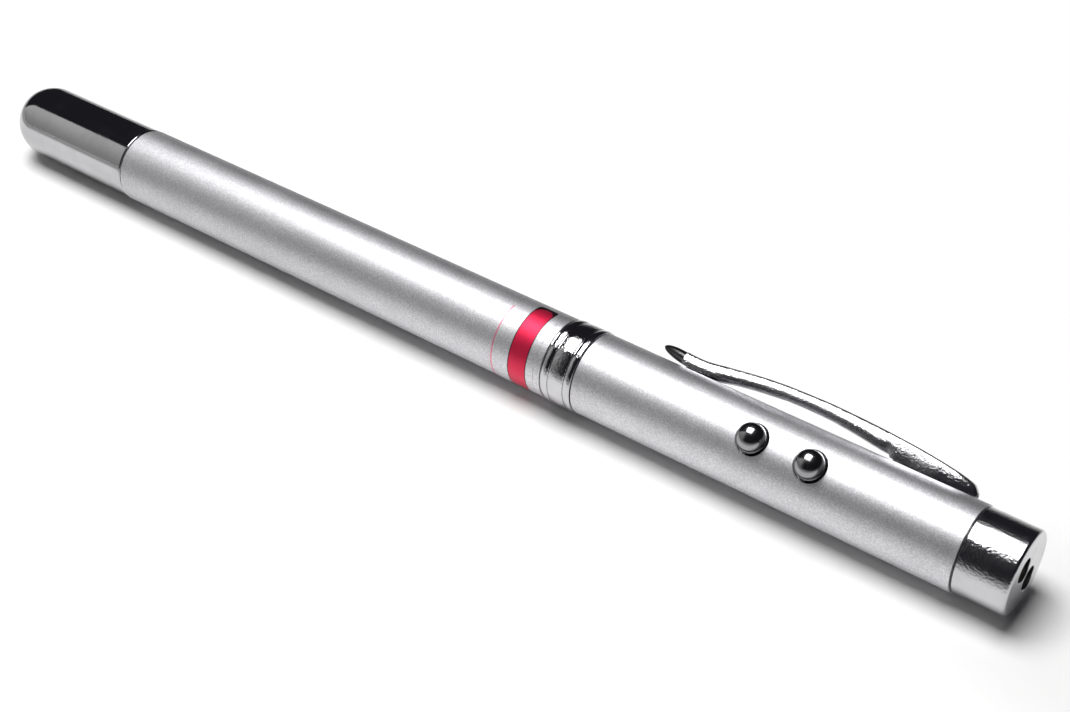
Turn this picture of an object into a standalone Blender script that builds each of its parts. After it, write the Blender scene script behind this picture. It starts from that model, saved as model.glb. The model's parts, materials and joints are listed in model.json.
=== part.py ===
"""Multifunction pen: red pointer lamp, white lamp, telescopic pointer and ballpoint in one slim barrel.

The pen lies on its side on the plane Z = 0. X runs along it towards the nose with the two lamps,
Z is up, and the buttons face up and towards -Y. All lengths are in metres.
Inside, places along the pen are measured from the seam between nose and barrel, x = 0.
"""
import math

import bmesh
import bpy
from mathutils import Matrix, Vector

# Clearances
SEAM_GAP = 0.00015        # between the end faces of neighbouring pieces
FIT_GAP = 0.00015         # radial, between a piece and the bore that holds it
RUN_GAP = 0.00012         # radial, between sliding pointer tubes
CELL_GAP = 0.0001         # between stacked contact faces
SOLDER_GAP = 0.00015      # between a component and the board under it
CUT_OVERRUN = 0.0005      # how far every cutter reaches past what it cuts
SMALL_EDGE = 0.0001       # chamfer on the small turned pieces inside
MERGE_DISTANCE = 0.00001  # points closer than this are one

# Barrels
BARREL_RADIUS = 0.0055
BARREL_WALL = 0.0007
BARREL_EDGE = 0.00015     # chamfer on the barrels' ends
UPPER_LENGTH = 0.0525     # nose seam to middle ring
LOWER_LENGTH = 0.0780     # middle ring to tail seam

# Nose cap
NOSE_LENGTH = 0.0065
NOSE_INSET = 0.00014      # how much slimmer than the barrel the nose is
NOSE_ROUNDING = 0.0004
NOSE_FACE_WALL = 0.0015
NOSE_SPIGOT = 0.0043
NOSE_SPIGOT_WALL = 0.00075
APERTURE_RADIUS = 0.00155
APERTURE_OFFSET = 0.00175  # each aperture's centre from the pen's axis

# Lamps behind the apertures
HOLDER_LENGTH = 0.0050
HOLDER_FRONT = 0.0003     # how far the holder's slim part reaches past the nose seam
HOUSING_RADIUS = 0.0016
HOUSING_BORE = 0.0012
HOUSING_FIT = 0.0001      # radial, between the housing and the lens and diode in it
HOUSING_LENGTH = 0.0148
LENS_THICKNESS = 0.0009
LENS_CROWN = 0.00025
LENS_SETBACK = 0.0004
DIODE_LENGTH = 0.0024
LED_RADIUS = 0.0015
LED_FLANGE_RADIUS = 0.0017
LED_FLANGE = 0.00095
LED_LENGTH = 0.0044
LEAD_RADIUS = 0.0002
LED_LEAD_SPREAD = 0.000635
DIODE_LEAD_SPREAD = 0.0005
LEAD_HOLE_GAP = 0.0001

# Circuit board and what it carries
BOARD_SETBACK = 0.0129    # nose seam to the board's front edge
BOARD_TOP = 0.0006        # height of the board's face above the pen's axis
BOARD_THICKNESS = 0.0008
LEAD_OVERLAP = 0.0016     # how far the leads lie along the board
PLATE_RADIUS = 0.0038
PLATE_THICKNESS = 0.0003
SWITCH_LENGTH = 0.0035
SWITCH_WIDTH = 0.0060
SWITCH_HEIGHT = 0.0020
PLUNGER_RADIUS = 0.0012
PLUNGER_PROUD = 0.0005    # how far the plunger stands out of the switch
PLUNGER_DEPTH = 0.0007    # how deep it sits inside
RESISTOR_LENGTH = 0.0020
RESISTOR_WIDTH = 0.00125
RESISTOR_HEIGHT = 0.0006
RESISTOR_GAP = 0.0005     # between a switch and its resistor
RESISTOR_SIDE = 0.0022    # the resistor's centre, to one side of the pen's middle plane
BOARD_MARGIN = 0.0003     # least length of board behind the second switch

# Buttons
BUTTON_ANGLE = math.radians(54)   # round the pen from -Y, up over the top
BUTTON_SETBACK = 0.01965  # nose seam to the first button
BUTTON_SPACING = 0.00785
BUTTON_TRAVEL = 0.0004
BUTTON_HEAD_RADIUS = 0.00176
BUTTON_COLLAR_RADIUS = 0.00188
BUTTON_COLLAR_PROUD = 0.0004
BUTTON_NECK_PROUD = 0.0007
BUTTON_PROUD = 0.0021
BUTTON_GAP = 0.00024
BUTTON_FLANGE_RADIUS = 0.0023
BUTTON_FLANGE = 0.0005
PLUNGER_GAP = 0.0001      # between a button at rest and its switch's plunger

# Button cells, their sleeve and their spring
CELL_RADIUS = 0.00395
CELL_HEIGHT = 0.0036
CELL_RIM = 0.0003
SLEEVE_WALL = 0.00045
SPRING_LENGTH = 0.0031
SPRING_RADIUS = 0.0022
SPRING_WIRE = 0.0002
SPRING_TURNS = 3.5
SPRING_STEPS = 10         # points in one turn

# Middle ring, which is the threaded connector between the barrels
RING_PROUD = 0.0002
RING_GROOVE = 0.00012     # width of each groove
RING_GROOVE_DEPTH = 0.00024
RING_BEAD = 0.000975
RING_BAND = 0.00226
RING_NECK = 0.00017       # plain neck behind the last bead
THREAD_LENGTH = 0.00625
THREAD_RELIEF = 0.0006    # plain neck between ring and thread
THREAD_DEPTH = 0.0002     # how much slimmer the neck and the thread's end are
RING_SPIGOT = 0.0040
RING_BORE = 0.0034
RING_END_WALL = 0.0014

# Printed film on the lower barrel
FILM_SETBACK = 0.0013     # ring to film
FILM_LENGTH = 0.0155
FILM_THICKNESS = 0.00012
FILM_RECESS = 0.00025

# Telescopic pointer
SECTION_COUNT = 5         # sliding sections, in the fixed base tube
BASE_TUBE_RADIUS = 0.0036
TUBE_WALL = 0.00025
BASE_TUBE_PROUD = 0.0043  # past the tail seam
SECTION_STEP = 0.00045    # each section's end past the next larger one's
SECTION_SETBACK = 0.0004  # each section's inner end behind the next larger one's
ANCHOR_LENGTH = 0.0045
ANCHOR_GAP = 0.0003
ANCHOR_FLOOR = 0.0012
BUSH_INSIDE = 0.0080
BUSH_PROUD = 0.0046

# Writing head and refill, on the last section
HEAD_SOCKET = 0.0020
HEAD_COLLAR_RADIUS = 0.0039
HEAD_COLLAR = 0.0032
HEAD_NECK_RADIUS = 0.0027
HEAD_NECK = 0.0035
HEAD_CONE = 0.0087
HEAD_TIP_RADIUS = 0.00135
HEAD_EDGE = 0.0003
HEAD_MOUTH_RADIUS = 0.00095
HEAD_MOUTH = 0.0016
REFILL_RADIUS = 0.00115
REFILL_LENGTH = 0.0600
REFILL_WALL = 0.00025
INK_GAP = 0.0001
INK_SHARE = 0.8           # how full the refill is
POINT_BODY = 0.0034
POINT_STEM_RADIUS = 0.0008
POINT_STEM = 0.0028
POINT_CONE = 0.0012
POINT_MOUTH_RADIUS = 0.0003
BALL_RADIUS = 0.00035
BALL_GAP = 0.0001

# Tail cap
CAP_LENGTH = 0.0263
CAP_INSET = 0.00005       # how much slimmer than the barrel the cap is
CAP_EDGE = 0.0002
LINER_SETBACK = 0.0054    # tail seam to the liner
LINER_LENGTH = 0.0085

# Pocket clip
CLIP_ANGLE = BUTTON_ANGLE + math.radians(90)
CLIP_SETBACK = 0.0022     # nose seam to the clip's root
CLIP_LENGTH = 0.0433
CLIP_ARCH = 0.00315       # top of the arch above the clip's seat
CLIP_WIDTH = 0.0031
CLIP_SHEET = 0.00035
CLIP_SHOULDER = 0.0003
CLIP_CROWN = 0.00012
CLIP_SEAT_GAP = 0.0002
HOOK_SETBACK = 0.0107     # nose seam to the hook's front face
HOOK_LENGTH = 0.0010
HOOK_WIDTH = 0.0009
HOOK_DEPTH = 0.0013       # how far the hook reaches in past the barrel's surface
SLOT_GAP = 0.0003

# The clip's stations: share of its length, of its arch for the top edge, of its arch for the lower
# edge above the seat, and of its width.
CLIP_SHARES = (
    (0.000, 0.16, 0.00, 0.34),
    (0.007, 0.28, 0.00, 0.46),
    (0.018, 0.42, 0.00, 0.58),
    (0.035, 0.49, 0.00, 0.70),
    (0.061, 0.56, 0.00, 0.83),
    (0.088, 0.62, 0.00, 0.90),
    (0.141, 0.71, 0.00, 1.00),
    (0.194, 0.79, 0.00, 1.00),
    (0.249, 0.85, 0.00, 1.00),
    (0.266, 0.87, 0.25, 1.00),
    (0.300, 0.91, 0.30, 0.99),
    (0.358, 0.95, 0.40, 0.98),
    (0.413, 0.98, 0.48, 0.95),
    (0.471, 1.00, 0.54, 0.91),
    (0.529, 0.99, 0.55, 0.88),
    (0.589, 0.97, 0.53, 0.84),
    (0.649, 0.92, 0.45, 0.81),
    (0.707, 0.84, 0.35, 0.78),
    (0.767, 0.73, 0.21, 0.76),
    (0.799, 0.67, 0.10, 0.76),
    (0.831, 0.60, 0.00, 0.76),
    (0.873, 0.55, 0.00, 0.76),
    (0.908, 0.56, 0.00, 0.76),
    (0.931, 0.60, 0.06, 0.75),
    (0.954, 0.65, 0.13, 0.72),
    (0.972, 0.70, 0.22, 0.66),
    (0.988, 0.69, 0.31, 0.56),
    (1.000, 0.62, 0.36, 0.40),
)

# Facets round each kind of piece
SHELL_STEPS = 40
INNER_STEPS = 24
SMALL_STEPS = 16
ARC_STEPS = 6

# Places along the pen, worked out from the sizes above
BORE = BARREL_RADIUS - BARREL_WALL
PLUG_RADIUS = BORE - FIT_GAP
RING_LENGTH = 2 * RING_BEAD + RING_BAND + 2 * RING_GROOVE + RING_NECK
RING_FRONT = -UPPER_LENGTH
RING_BACK = RING_FRONT - RING_LENGTH
TAIL_SEAM = RING_BACK - LOWER_LENGTH
CAP_END = TAIL_SEAM - CAP_LENGTH
NOSE_BACK = -NOSE_SPIGOT
THREAD_END = RING_FRONT + THREAD_LENGTH
CELLS_BACK = THREAD_END + CELL_GAP
CELL_PITCH = CELL_HEIGHT + CELL_GAP
CONTACT_LENGTH = SOLDER_GAP + PLATE_THICKNESS + CELL_GAP + SPRING_LENGTH
SWITCHES_BACK = -BUTTON_SETBACK - BUTTON_SPACING - SWITCH_LENGTH / 2
CELL_ROOM = SWITCHES_BACK - BOARD_MARGIN - CONTACT_LENGTH - CELLS_BACK
CELL_COUNT = int(CELL_ROOM / CELL_PITCH)  # as many as fit between the thread and the switches
CELLS_FRONT = CELLS_BACK + CELL_COUNT * CELL_PITCH - CELL_GAP
SPRING_BACK = CELLS_FRONT + CELL_GAP
PLATE_BACK = SPRING_BACK + SPRING_LENGTH + CELL_GAP
PLATE_FRONT = PLATE_BACK + PLATE_THICKNESS
BOARD_BACK = PLATE_FRONT + SOLDER_GAP
BOARD_BOTTOM = BOARD_TOP - BOARD_THICKNESS
FACE_INNER = NOSE_LENGTH - NOSE_FACE_WALL
HOUSING_FRONT = FACE_INNER - SEAM_GAP
HOUSING_BACK = HOUSING_FRONT - HOUSING_LENGTH
HOLDER_STEP = NOSE_BACK - SEAM_GAP
HOLDER_BACK = HOLDER_STEP - HOLDER_LENGTH
LED_BACK = HOLDER_FRONT + SEAM_GAP
RING_TAIL_END = RING_BACK - RING_SPIGOT
ANCHOR_FRONT = RING_TAIL_END - ANCHOR_GAP
ANCHOR_BACK = ANCHOR_FRONT - ANCHOR_LENGTH
BASE_TUBE_FRONT = ANCHOR_FRONT - ANCHOR_FLOOR - SEAM_GAP
BASE_TUBE_BACK = TAIL_SEAM - BASE_TUBE_PROUD
HEAD_FRONT = BASE_TUBE_BACK - SECTION_COUNT * SECTION_STEP
HEAD_BACK = HEAD_FRONT - HEAD_COLLAR - HEAD_NECK - HEAD_CONE
BUSH_BORE = BASE_TUBE_RADIUS + FIT_GAP
SWITCH_TOP = BOARD_TOP + SOLDER_GAP + SWITCH_HEIGHT
PLUNGER_TOP = SWITCH_TOP + PLUNGER_PROUD
BUTTON_BOTTOM = PLUNGER_TOP + PLUNGER_GAP
CLIP_SEAT = BARREL_RADIUS + CLIP_SEAT_GAP


def start_scene():
    """Empty scene, with a collection for the pen's pieces and one for what cuts them."""
    for old in list(bpy.data.objects):
        bpy.data.objects.remove(old)
    pieces = bpy.data.collections.new("multifunction_pen")
    cutters = bpy.data.collections.new("cutters")
    for collection in (pieces, cutters):
        bpy.context.scene.collection.children.link(collection)
    return pieces, cutters


PIECES, CUTTERS = start_scene()


def make_material(name, colour, roughness, metallic):
    material = bpy.data.materials.new(name)
    material.use_nodes = True
    shader = material.node_tree.nodes["Principled BSDF"]
    shader.inputs["Base Color"].default_value = (*colour, 1.0)
    shader.inputs["Roughness"].default_value = roughness
    shader.inputs["Metallic"].default_value = metallic
    return material


SATIN = make_material("satin_silver", (0.72, 0.72, 0.74), 0.38, 1.0)
CHROME = make_material("chrome", (0.80, 0.80, 0.82), 0.08, 1.0)
BRASS = make_material("brass", (0.78, 0.60, 0.30), 0.30, 1.0)
STEEL = make_material("steel", (0.62, 0.62, 0.63), 0.25, 1.0)
BLACK = make_material("black_plastic", (0.03, 0.03, 0.03), 0.5, 0.0)
WHITE = make_material("white_plastic", (0.85, 0.85, 0.83), 0.5, 0.0)
GREEN = make_material("board_green", (0.03, 0.22, 0.09), 0.5, 0.0)
CLEAR = make_material("clear_lens", (0.90, 0.93, 0.95), 0.05, 0.0)
INK = make_material("blue_ink", (0.02, 0.04, 0.35), 0.3, 0.0)
FILM = make_material("printed_film", (0.78, 0.77, 0.79), 0.35, 0.6)


def make_frame(name, parent, angle_about_x):
    """Empty on the pen's axis, turned about it."""
    frame = bpy.data.objects.new(name, None)
    PIECES.objects.link(frame)
    frame.parent = parent
    frame.rotation_euler.x = angle_about_x
    return frame


# In the buttons' frame +Z is the way the buttons face and +Y the way the clip faces.
PEN = make_frame("pen_frame", None, 0)
BUTTON_SIDE = make_frame("button_frame", PEN, math.radians(90) - BUTTON_ANGLE)
CLIP_SIDE = make_frame("clip_frame", PEN, math.radians(90) - CLIP_ANGLE)


def add_piece(name, mesh, material, parent=PEN, at=(0, 0, 0)):
    piece = bpy.data.objects.new(name, mesh)
    PIECES.objects.link(piece)
    piece.parent = parent
    piece.location = at
    if material is not None:
        mesh.materials.append(material)
    return piece


def make_cutter(name, mesh, parent, at=(0, 0, 0)):
    cutter = bpy.data.objects.new(name, mesh)
    CUTTERS.objects.link(cutter)
    cutter.parent = parent
    cutter.location = at
    cutter.hide_render = True
    cutter.display_type = "WIRE"
    return cutter


def boolean(piece, other, operation="DIFFERENCE"):
    modifier = piece.modifiers.new(operation.lower(), "BOOLEAN")
    modifier.operation = operation
    modifier.solver = "EXACT"
    modifier.object = other


def smooth(mesh):
    mesh.shade_smooth()
    mesh.set_sharp_from_angle(angle=math.radians(35))


def arc(centre_x, centre_r, radius, start, end, steps=ARC_STEPS):
    """Points (x, r) of an arc, its angles in degrees from the nose's direction towards the outside."""
    points = []
    for i in range(steps + 1):
        angle = math.radians(start + (end - start) * i / steps)
        points.append((centre_x + radius * math.cos(angle), centre_r + radius * math.sin(angle)))
    return points


def turned(name, profile, material, steps=INNER_STEPS, parent=PEN, at=(0, 0, 0), closed=False,
           along_pen=True):
    """Solid of revolution. The profile's points (x, r) run from nose to tail along its outer side."""
    mesh = bpy.data.meshes.new(name)
    vertices = [(r, 0, x) for x, r in profile]
    edges = [(i, i + 1) for i in range(len(profile) - 1)]
    if closed:
        edges.append((len(profile) - 1, 0))
    mesh.from_pydata(vertices, edges, [])
    piece = add_piece(name, mesh, material, parent, at)
    if along_pen:
        # half a facet of turn puts a flat facet under the pen
        piece.matrix_local = (Matrix.Translation(at) @ Matrix.Rotation(math.radians(90), 4, "Y")
                              @ Matrix.Rotation(math.pi / steps, 4, "Z"))
    screw = piece.modifiers.new("turn", "SCREW")
    screw.steps = screw.render_steps = steps
    screw.use_merge_vertices = True
    screw.merge_threshold = MERGE_DISTANCE
    screw.use_smooth_shade = True
    return piece


def tube_profile(front, back, outer, inner, edge=0.0):
    """Closed profile of a tube, with chamfers on its two outer ends."""
    if edge == 0:
        return [(front, outer), (back, outer), (back, inner), (front, inner)]
    return [(front, outer - edge), (front - edge, outer), (back + edge, outer), (back, outer - edge),
            (back, inner), (front, inner)]


def rod_profile(front, back, radius, edge=0.0):
    """Open profile of a solid rod, both ends on the axis."""
    if edge == 0:
        return [(front, 0), (front, radius), (back, radius), (back, 0)]
    return [(front, 0), (front, radius - edge), (front - edge, radius), (back + edge, radius),
            (back, radius - edge), (back, 0)]


def box_mesh(name, length, width, height):
    """Box with its middle at the origin, along X, Y and Z."""
    mesh = bpy.data.meshes.new(name)
    shape = bmesh.new()
    bmesh.ops.create_cube(shape, size=1)
    bmesh.ops.scale(shape, vec=(length, width, height), verts=shape.verts)
    shape.to_mesh(mesh)
    shape.free()
    return mesh


def rod_mesh(name, radius, length, steps, along_x=False):
    """Cylinder with its middle at the origin, along Z, or along X."""
    mesh = bpy.data.meshes.new(name)
    shape = bmesh.new()
    bmesh.ops.create_cone(shape, cap_ends=True, segments=steps, radius1=radius, radius2=radius, depth=length)
    if along_x:
        bmesh.ops.rotate(shape, matrix=Matrix.Rotation(math.radians(90), 3, "Y"), verts=shape.verts)
    shape.to_mesh(mesh)
    shape.free()
    return mesh


def wire(name, points, radius, material, parent):
    """Round wire through the points, as one mesh with welded caps."""
    curve = bpy.data.curves.new(name, "CURVE")
    curve.dimensions = "3D"
    curve.bevel_depth = radius
    curve.bevel_resolution = 1
    curve.use_fill_caps = True
    spline = curve.splines.new("POLY")
    spline.points.add(len(points) - 1)
    for point, place in zip(spline.points, points):
        point.co = (*place, 1)
    guide = bpy.data.objects.new(name + "_curve", curve)
    PIECES.objects.link(guide)
    bpy.context.view_layer.update()
    evaluated = guide.evaluated_get(bpy.context.evaluated_depsgraph_get())
    mesh = bpy.data.meshes.new_from_object(evaluated)
    shape = bmesh.new()
    shape.from_mesh(mesh)
    bmesh.ops.remove_doubles(shape, verts=shape.verts, dist=MERGE_DISTANCE)
    shape.to_mesh(mesh)
    shape.free()
    bpy.data.objects.remove(guide)
    mesh.materials.clear()
    smooth(mesh)
    return add_piece(name, mesh, material, parent)


def make_upper_barrel():
    """Satin tube of the head, with holes for the buttons and a slot for the clip's hook."""
    barrel = turned("upper_barrel",
                    tube_profile(-SEAM_GAP, RING_FRONT + SEAM_GAP, BARREL_RADIUS, BORE, BARREL_EDGE),
                    SATIN, SHELL_STEPS, closed=True)
    for i in range(2):
        hole = rod_mesh("button_hole", BUTTON_COLLAR_RADIUS + BUTTON_GAP, BARREL_RADIUS, INNER_STEPS)
        at = (-BUTTON_SETBACK - i * BUTTON_SPACING, 0, BARREL_RADIUS)
        boolean(barrel, make_cutter(f"button_hole_{i + 1}", hole, BUTTON_SIDE, at))
    slot = box_mesh("hook_slot", HOOK_LENGTH + 2 * SLOT_GAP, HOOK_WIDTH + 2 * SLOT_GAP, BARREL_RADIUS)
    at = (-HOOK_SETBACK - HOOK_LENGTH / 2, 0, BARREL_RADIUS)
    boolean(barrel, make_cutter("hook_slot", slot, CLIP_SIDE, at))


def make_nose_cap():
    """Chromed cap with a spigot in the barrel and the two lamp apertures in its face."""
    outer = BARREL_RADIUS - NOSE_INSET
    rounding = arc(NOSE_LENGTH - NOSE_ROUNDING, outer - NOSE_ROUNDING, NOSE_ROUNDING, 0, 90, 3)
    profile = [(NOSE_LENGTH, 0), *rounding, (0, outer), (0, PLUG_RADIUS), (NOSE_BACK, PLUG_RADIUS),
               (NOSE_BACK, PLUG_RADIUS - NOSE_SPIGOT_WALL), (FACE_INNER, PLUG_RADIUS - NOSE_SPIGOT_WALL),
               (FACE_INNER, 0)]
    cap = turned("nose_cap", profile, CHROME, SHELL_STEPS)
    for label, side in (("laser_aperture", 1), ("led_aperture", -1)):
        hole = rod_mesh(label, APERTURE_RADIUS, NOSE_FACE_WALL + 2 * CUT_OVERRUN, INNER_STEPS, along_x=True)
        at = (NOSE_LENGTH - NOSE_FACE_WALL / 2, 0, side * APERTURE_OFFSET)
        boolean(cap, make_cutter(label, hole, BUTTON_SIDE, at))


def make_lamp_holder():
    """Stepped plug behind the nose that holds the laser housing and the lamp's leads."""
    slim = PLUG_RADIUS - NOSE_SPIGOT_WALL - FIT_GAP
    profile = [(HOLDER_FRONT, 0), (HOLDER_FRONT, slim), (HOLDER_STEP, slim), (HOLDER_STEP, PLUG_RADIUS),
               (HOLDER_BACK, PLUG_RADIUS), (HOLDER_BACK, 0)]
    holder = turned("lamp_holder", profile, BLACK)
    length = HOLDER_FRONT - HOLDER_BACK + 2 * CUT_OVERRUN
    middle = (HOLDER_FRONT + HOLDER_BACK) / 2
    hole = rod_mesh("housing_hole", HOUSING_RADIUS + FIT_GAP, length, SMALL_STEPS, along_x=True)
    boolean(holder, make_cutter("housing_hole", hole, BUTTON_SIDE, (middle, 0, APERTURE_OFFSET)))
    for i, side in enumerate((-1, 1)):
        hole = rod_mesh("lead_hole", LEAD_RADIUS + LEAD_HOLE_GAP, length, SMALL_STEPS // 2, along_x=True)
        at = (middle, side * LED_LEAD_SPREAD, -APERTURE_OFFSET)
        boolean(holder, make_cutter(f"lead_hole_{i + 1}", hole, BUTTON_SIDE, at))


def make_laser():
    """Brass housing with its lens in front and the diode behind, and the diode's leads to the board."""
    at = (0, 0, APERTURE_OFFSET)
    profile = tube_profile(HOUSING_FRONT, HOUSING_BACK, HOUSING_RADIUS, HOUSING_BORE, SMALL_EDGE)
    turned("laser_housing", profile, BRASS, SMALL_STEPS, BUTTON_SIDE, at, closed=True)
    seat = HOUSING_BORE - HOUSING_FIT
    front = HOUSING_FRONT - LENS_SETBACK
    turned("laser_lens",
           [(front, 0), (front - LENS_CROWN / 4, seat / 2), (front - LENS_CROWN, seat),
            (front - LENS_THICKNESS, seat), (front - LENS_THICKNESS, 0)],
           CLEAR, SMALL_STEPS, BUTTON_SIDE, at)
    diode_front = HOUSING_BACK + DIODE_LENGTH
    turned("laser_diode", rod_profile(diode_front, HOUSING_BACK, seat, SMALL_EDGE), STEEL, SMALL_STEPS,
           BUTTON_SIDE, at)
    lying = BOARD_TOP + SOLDER_GAP + LEAD_RADIUS
    bend = (-BOARD_SETBACK - HOUSING_BACK) / 2
    for label, side in (("laser_lead_1", -1), ("laser_lead_2", 1)):
        y = side * DIODE_LEAD_SPREAD
        wire(label,
             [(HOUSING_BACK - SEAM_GAP, y, APERTURE_OFFSET), (HOUSING_BACK + bend / 2, y, APERTURE_OFFSET),
              (-BOARD_SETBACK, y, lying), (-BOARD_SETBACK - LEAD_OVERLAP, y, lying)],
             LEAD_RADIUS, STEEL, BUTTON_SIDE)


def make_lamp():
    """White lamp behind the second aperture, with its two leads under the board."""
    flange_front = LED_BACK + LED_FLANGE
    dome = LED_BACK + LED_LENGTH - LED_RADIUS
    profile = [*reversed(arc(dome, 0, LED_RADIUS, 90, 0, 5)), (flange_front, LED_RADIUS),
               (flange_front, LED_FLANGE_RADIUS), (LED_BACK, LED_FLANGE_RADIUS), (LED_BACK, 0)]
    turned("led_lamp", profile, CLEAR, SMALL_STEPS, BUTTON_SIDE, (0, 0, -APERTURE_OFFSET))
    lying = BOARD_BOTTOM - SOLDER_GAP - LEAD_RADIUS
    for label, side in (("led_lead_1", -1), ("led_lead_2", 1)):
        y = side * LED_LEAD_SPREAD
        wire(label,
             [(LED_BACK - SEAM_GAP, y, -APERTURE_OFFSET), (HOLDER_BACK - LEAD_OVERLAP, y, -APERTURE_OFFSET),
              (-BOARD_SETBACK, y, lying), (-BOARD_SETBACK - LEAD_OVERLAP, y, lying)],
             LEAD_RADIUS, STEEL, BUTTON_SIDE)


def make_board():
    """Circuit board across the barrel, with two switches, two resistors and the battery contact."""
    width = 2 * math.sqrt(PLUG_RADIUS**2 - BOARD_TOP**2)
    length = -BOARD_SETBACK - BOARD_BACK
    at = (-BOARD_SETBACK - length / 2, 0, BOARD_TOP - BOARD_THICKNESS / 2)
    board = box_mesh("circuit_board", length, width, BOARD_THICKNESS)
    add_piece("circuit_board", board, GREEN, BUTTON_SIDE, at)
    turned("battery_contact", rod_profile(PLATE_FRONT, PLATE_BACK, PLATE_RADIUS), BRASS)
    for i, name in enumerate(("laser", "led")):
        x = -BUTTON_SETBACK - i * BUTTON_SPACING
        block = box_mesh("switch", SWITCH_LENGTH, SWITCH_WIDTH, SWITCH_HEIGHT)
        at = (x, 0, SWITCH_TOP - SWITCH_HEIGHT / 2)
        switch = add_piece(f"{name}_switch", block, BLACK, BUTTON_SIDE, at)
        well = PLUNGER_DEPTH + BUTTON_TRAVEL + SOLDER_GAP
        cutter = rod_mesh("plunger_well", PLUNGER_RADIUS + FIT_GAP, 2 * well, SMALL_STEPS)
        boolean(switch, make_cutter(f"{name}_plunger_well", cutter, BUTTON_SIDE, (x, 0, SWITCH_TOP)))
        height = PLUNGER_PROUD + PLUNGER_DEPTH
        add_piece(f"{name}_switch_plunger", rod_mesh("plunger", PLUNGER_RADIUS, height, SMALL_STEPS), WHITE,
                  BUTTON_SIDE, (x, 0, PLUNGER_TOP - height / 2))
        resistor_x = x + (SWITCH_LENGTH + RESISTOR_LENGTH) / 2 + RESISTOR_GAP
        at = (resistor_x, RESISTOR_SIDE, BOARD_TOP + SOLDER_GAP + RESISTOR_HEIGHT / 2)
        add_piece(f"{name}_resistor", box_mesh("resistor", RESISTOR_LENGTH, RESISTOR_WIDTH, RESISTOR_HEIGHT),
                  BLACK, BUTTON_SIDE, at)


def make_buttons():
    """Bullet-shaped chromed buttons, each held in its hole by a flange inside the barrel."""
    flange_top = BUTTON_BOTTOM + BUTTON_FLANGE
    collar_top = BARREL_RADIUS + BUTTON_COLLAR_PROUD
    neck_top = BARREL_RADIUS + BUTTON_NECK_PROUD
    top = BARREL_RADIUS + BUTTON_PROUD
    dome = []
    for i in range(ARC_STEPS + 1):
        angle = math.radians(90) * i / ARC_STEPS
        dome.append((neck_top + (top - neck_top) * math.cos(angle), BUTTON_HEAD_RADIUS * math.sin(angle)))
    profile = [*dome, (collar_top, BUTTON_HEAD_RADIUS), (collar_top, BUTTON_COLLAR_RADIUS),
               (flange_top, BUTTON_COLLAR_RADIUS), (flange_top, BUTTON_FLANGE_RADIUS),
               (BUTTON_BOTTOM, BUTTON_FLANGE_RADIUS), (BUTTON_BOTTOM, 0)]
    for i, name in enumerate(("laser_button", "led_button")):
        turned(name, profile, CHROME, INNER_STEPS, BUTTON_SIDE, (-BUTTON_SETBACK - i * BUTTON_SPACING, 0, 0),
               along_pen=False)


def make_battery():
    """Button cells in their insulating sleeve, pressed on the connector by a spring."""
    turned("battery_sleeve",
           tube_profile(PLATE_BACK - SEAM_GAP, CELLS_BACK, PLUG_RADIUS, PLUG_RADIUS - SLEEVE_WALL),
           WHITE, closed=True)
    for i in range(CELL_COUNT):
        front = CELLS_FRONT - i * CELL_PITCH
        back = front - CELL_HEIGHT
        profile = [(front, 0), (front, CELL_RADIUS - 2 * CELL_RIM),
                   (front - CELL_RIM, CELL_RADIUS - CELL_RIM), (front - 2 * CELL_RIM, CELL_RADIUS),
                   (back, CELL_RADIUS), (back, 0)]
        turned(f"button_cell_{i + 1}", profile, STEEL)
    reach = SPRING_LENGTH - 2 * SPRING_WIRE
    points = []
    for i in range(int(SPRING_TURNS * SPRING_STEPS) + 1):
        turn = 2 * math.pi * i / SPRING_STEPS
        x = SPRING_BACK + SPRING_WIRE + reach * i / (SPRING_TURNS * SPRING_STEPS)
        points.append((x, SPRING_RADIUS * math.cos(turn), SPRING_RADIUS * math.sin(turn)))
    wire("battery_spring", points, SPRING_WIRE, STEEL, PEN)


def make_middle_ring():
    """Chromed ring between the barrels. Its threaded spigot screws into the upper barrel."""
    top = BARREL_RADIUS + RING_PROUD
    low = top - RING_GROOVE_DEPTH
    neck = PLUG_RADIUS - THREAD_DEPTH
    x = RING_FRONT
    profile = [(THREAD_END, 0), (THREAD_END, neck), (THREAD_END - THREAD_DEPTH, PLUG_RADIUS),
               (x + THREAD_RELIEF, PLUG_RADIUS), (x + THREAD_RELIEF, neck), (x, neck), (x, low)]
    for width, round_top in ((RING_BEAD, True), (RING_BAND, False), (RING_BEAD, True)):
        if round_top:
            profile += [(x, low), (x - width / 4, top), (x - 3 * width / 4, top), (x - width, low)]
        else:
            profile += [(x - RING_GROOVE / 2, top), (x - width + RING_GROOVE / 2, top), (x - width, low)]
        x -= width
        if x - RING_GROOVE > RING_BACK:
            x -= RING_GROOVE
            profile.append((x, low))
    profile += [(RING_BACK, low), (RING_BACK, PLUG_RADIUS), (RING_TAIL_END, PLUG_RADIUS), (RING_TAIL_END, RING_BORE),
                (THREAD_END - RING_END_WALL, RING_BORE), (THREAD_END - RING_END_WALL, 0)]
    tidy = [p for i, p in enumerate(profile) if i == 0 or p != profile[i - 1]]
    turned("middle_ring", tidy, CHROME, SHELL_STEPS)


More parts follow.
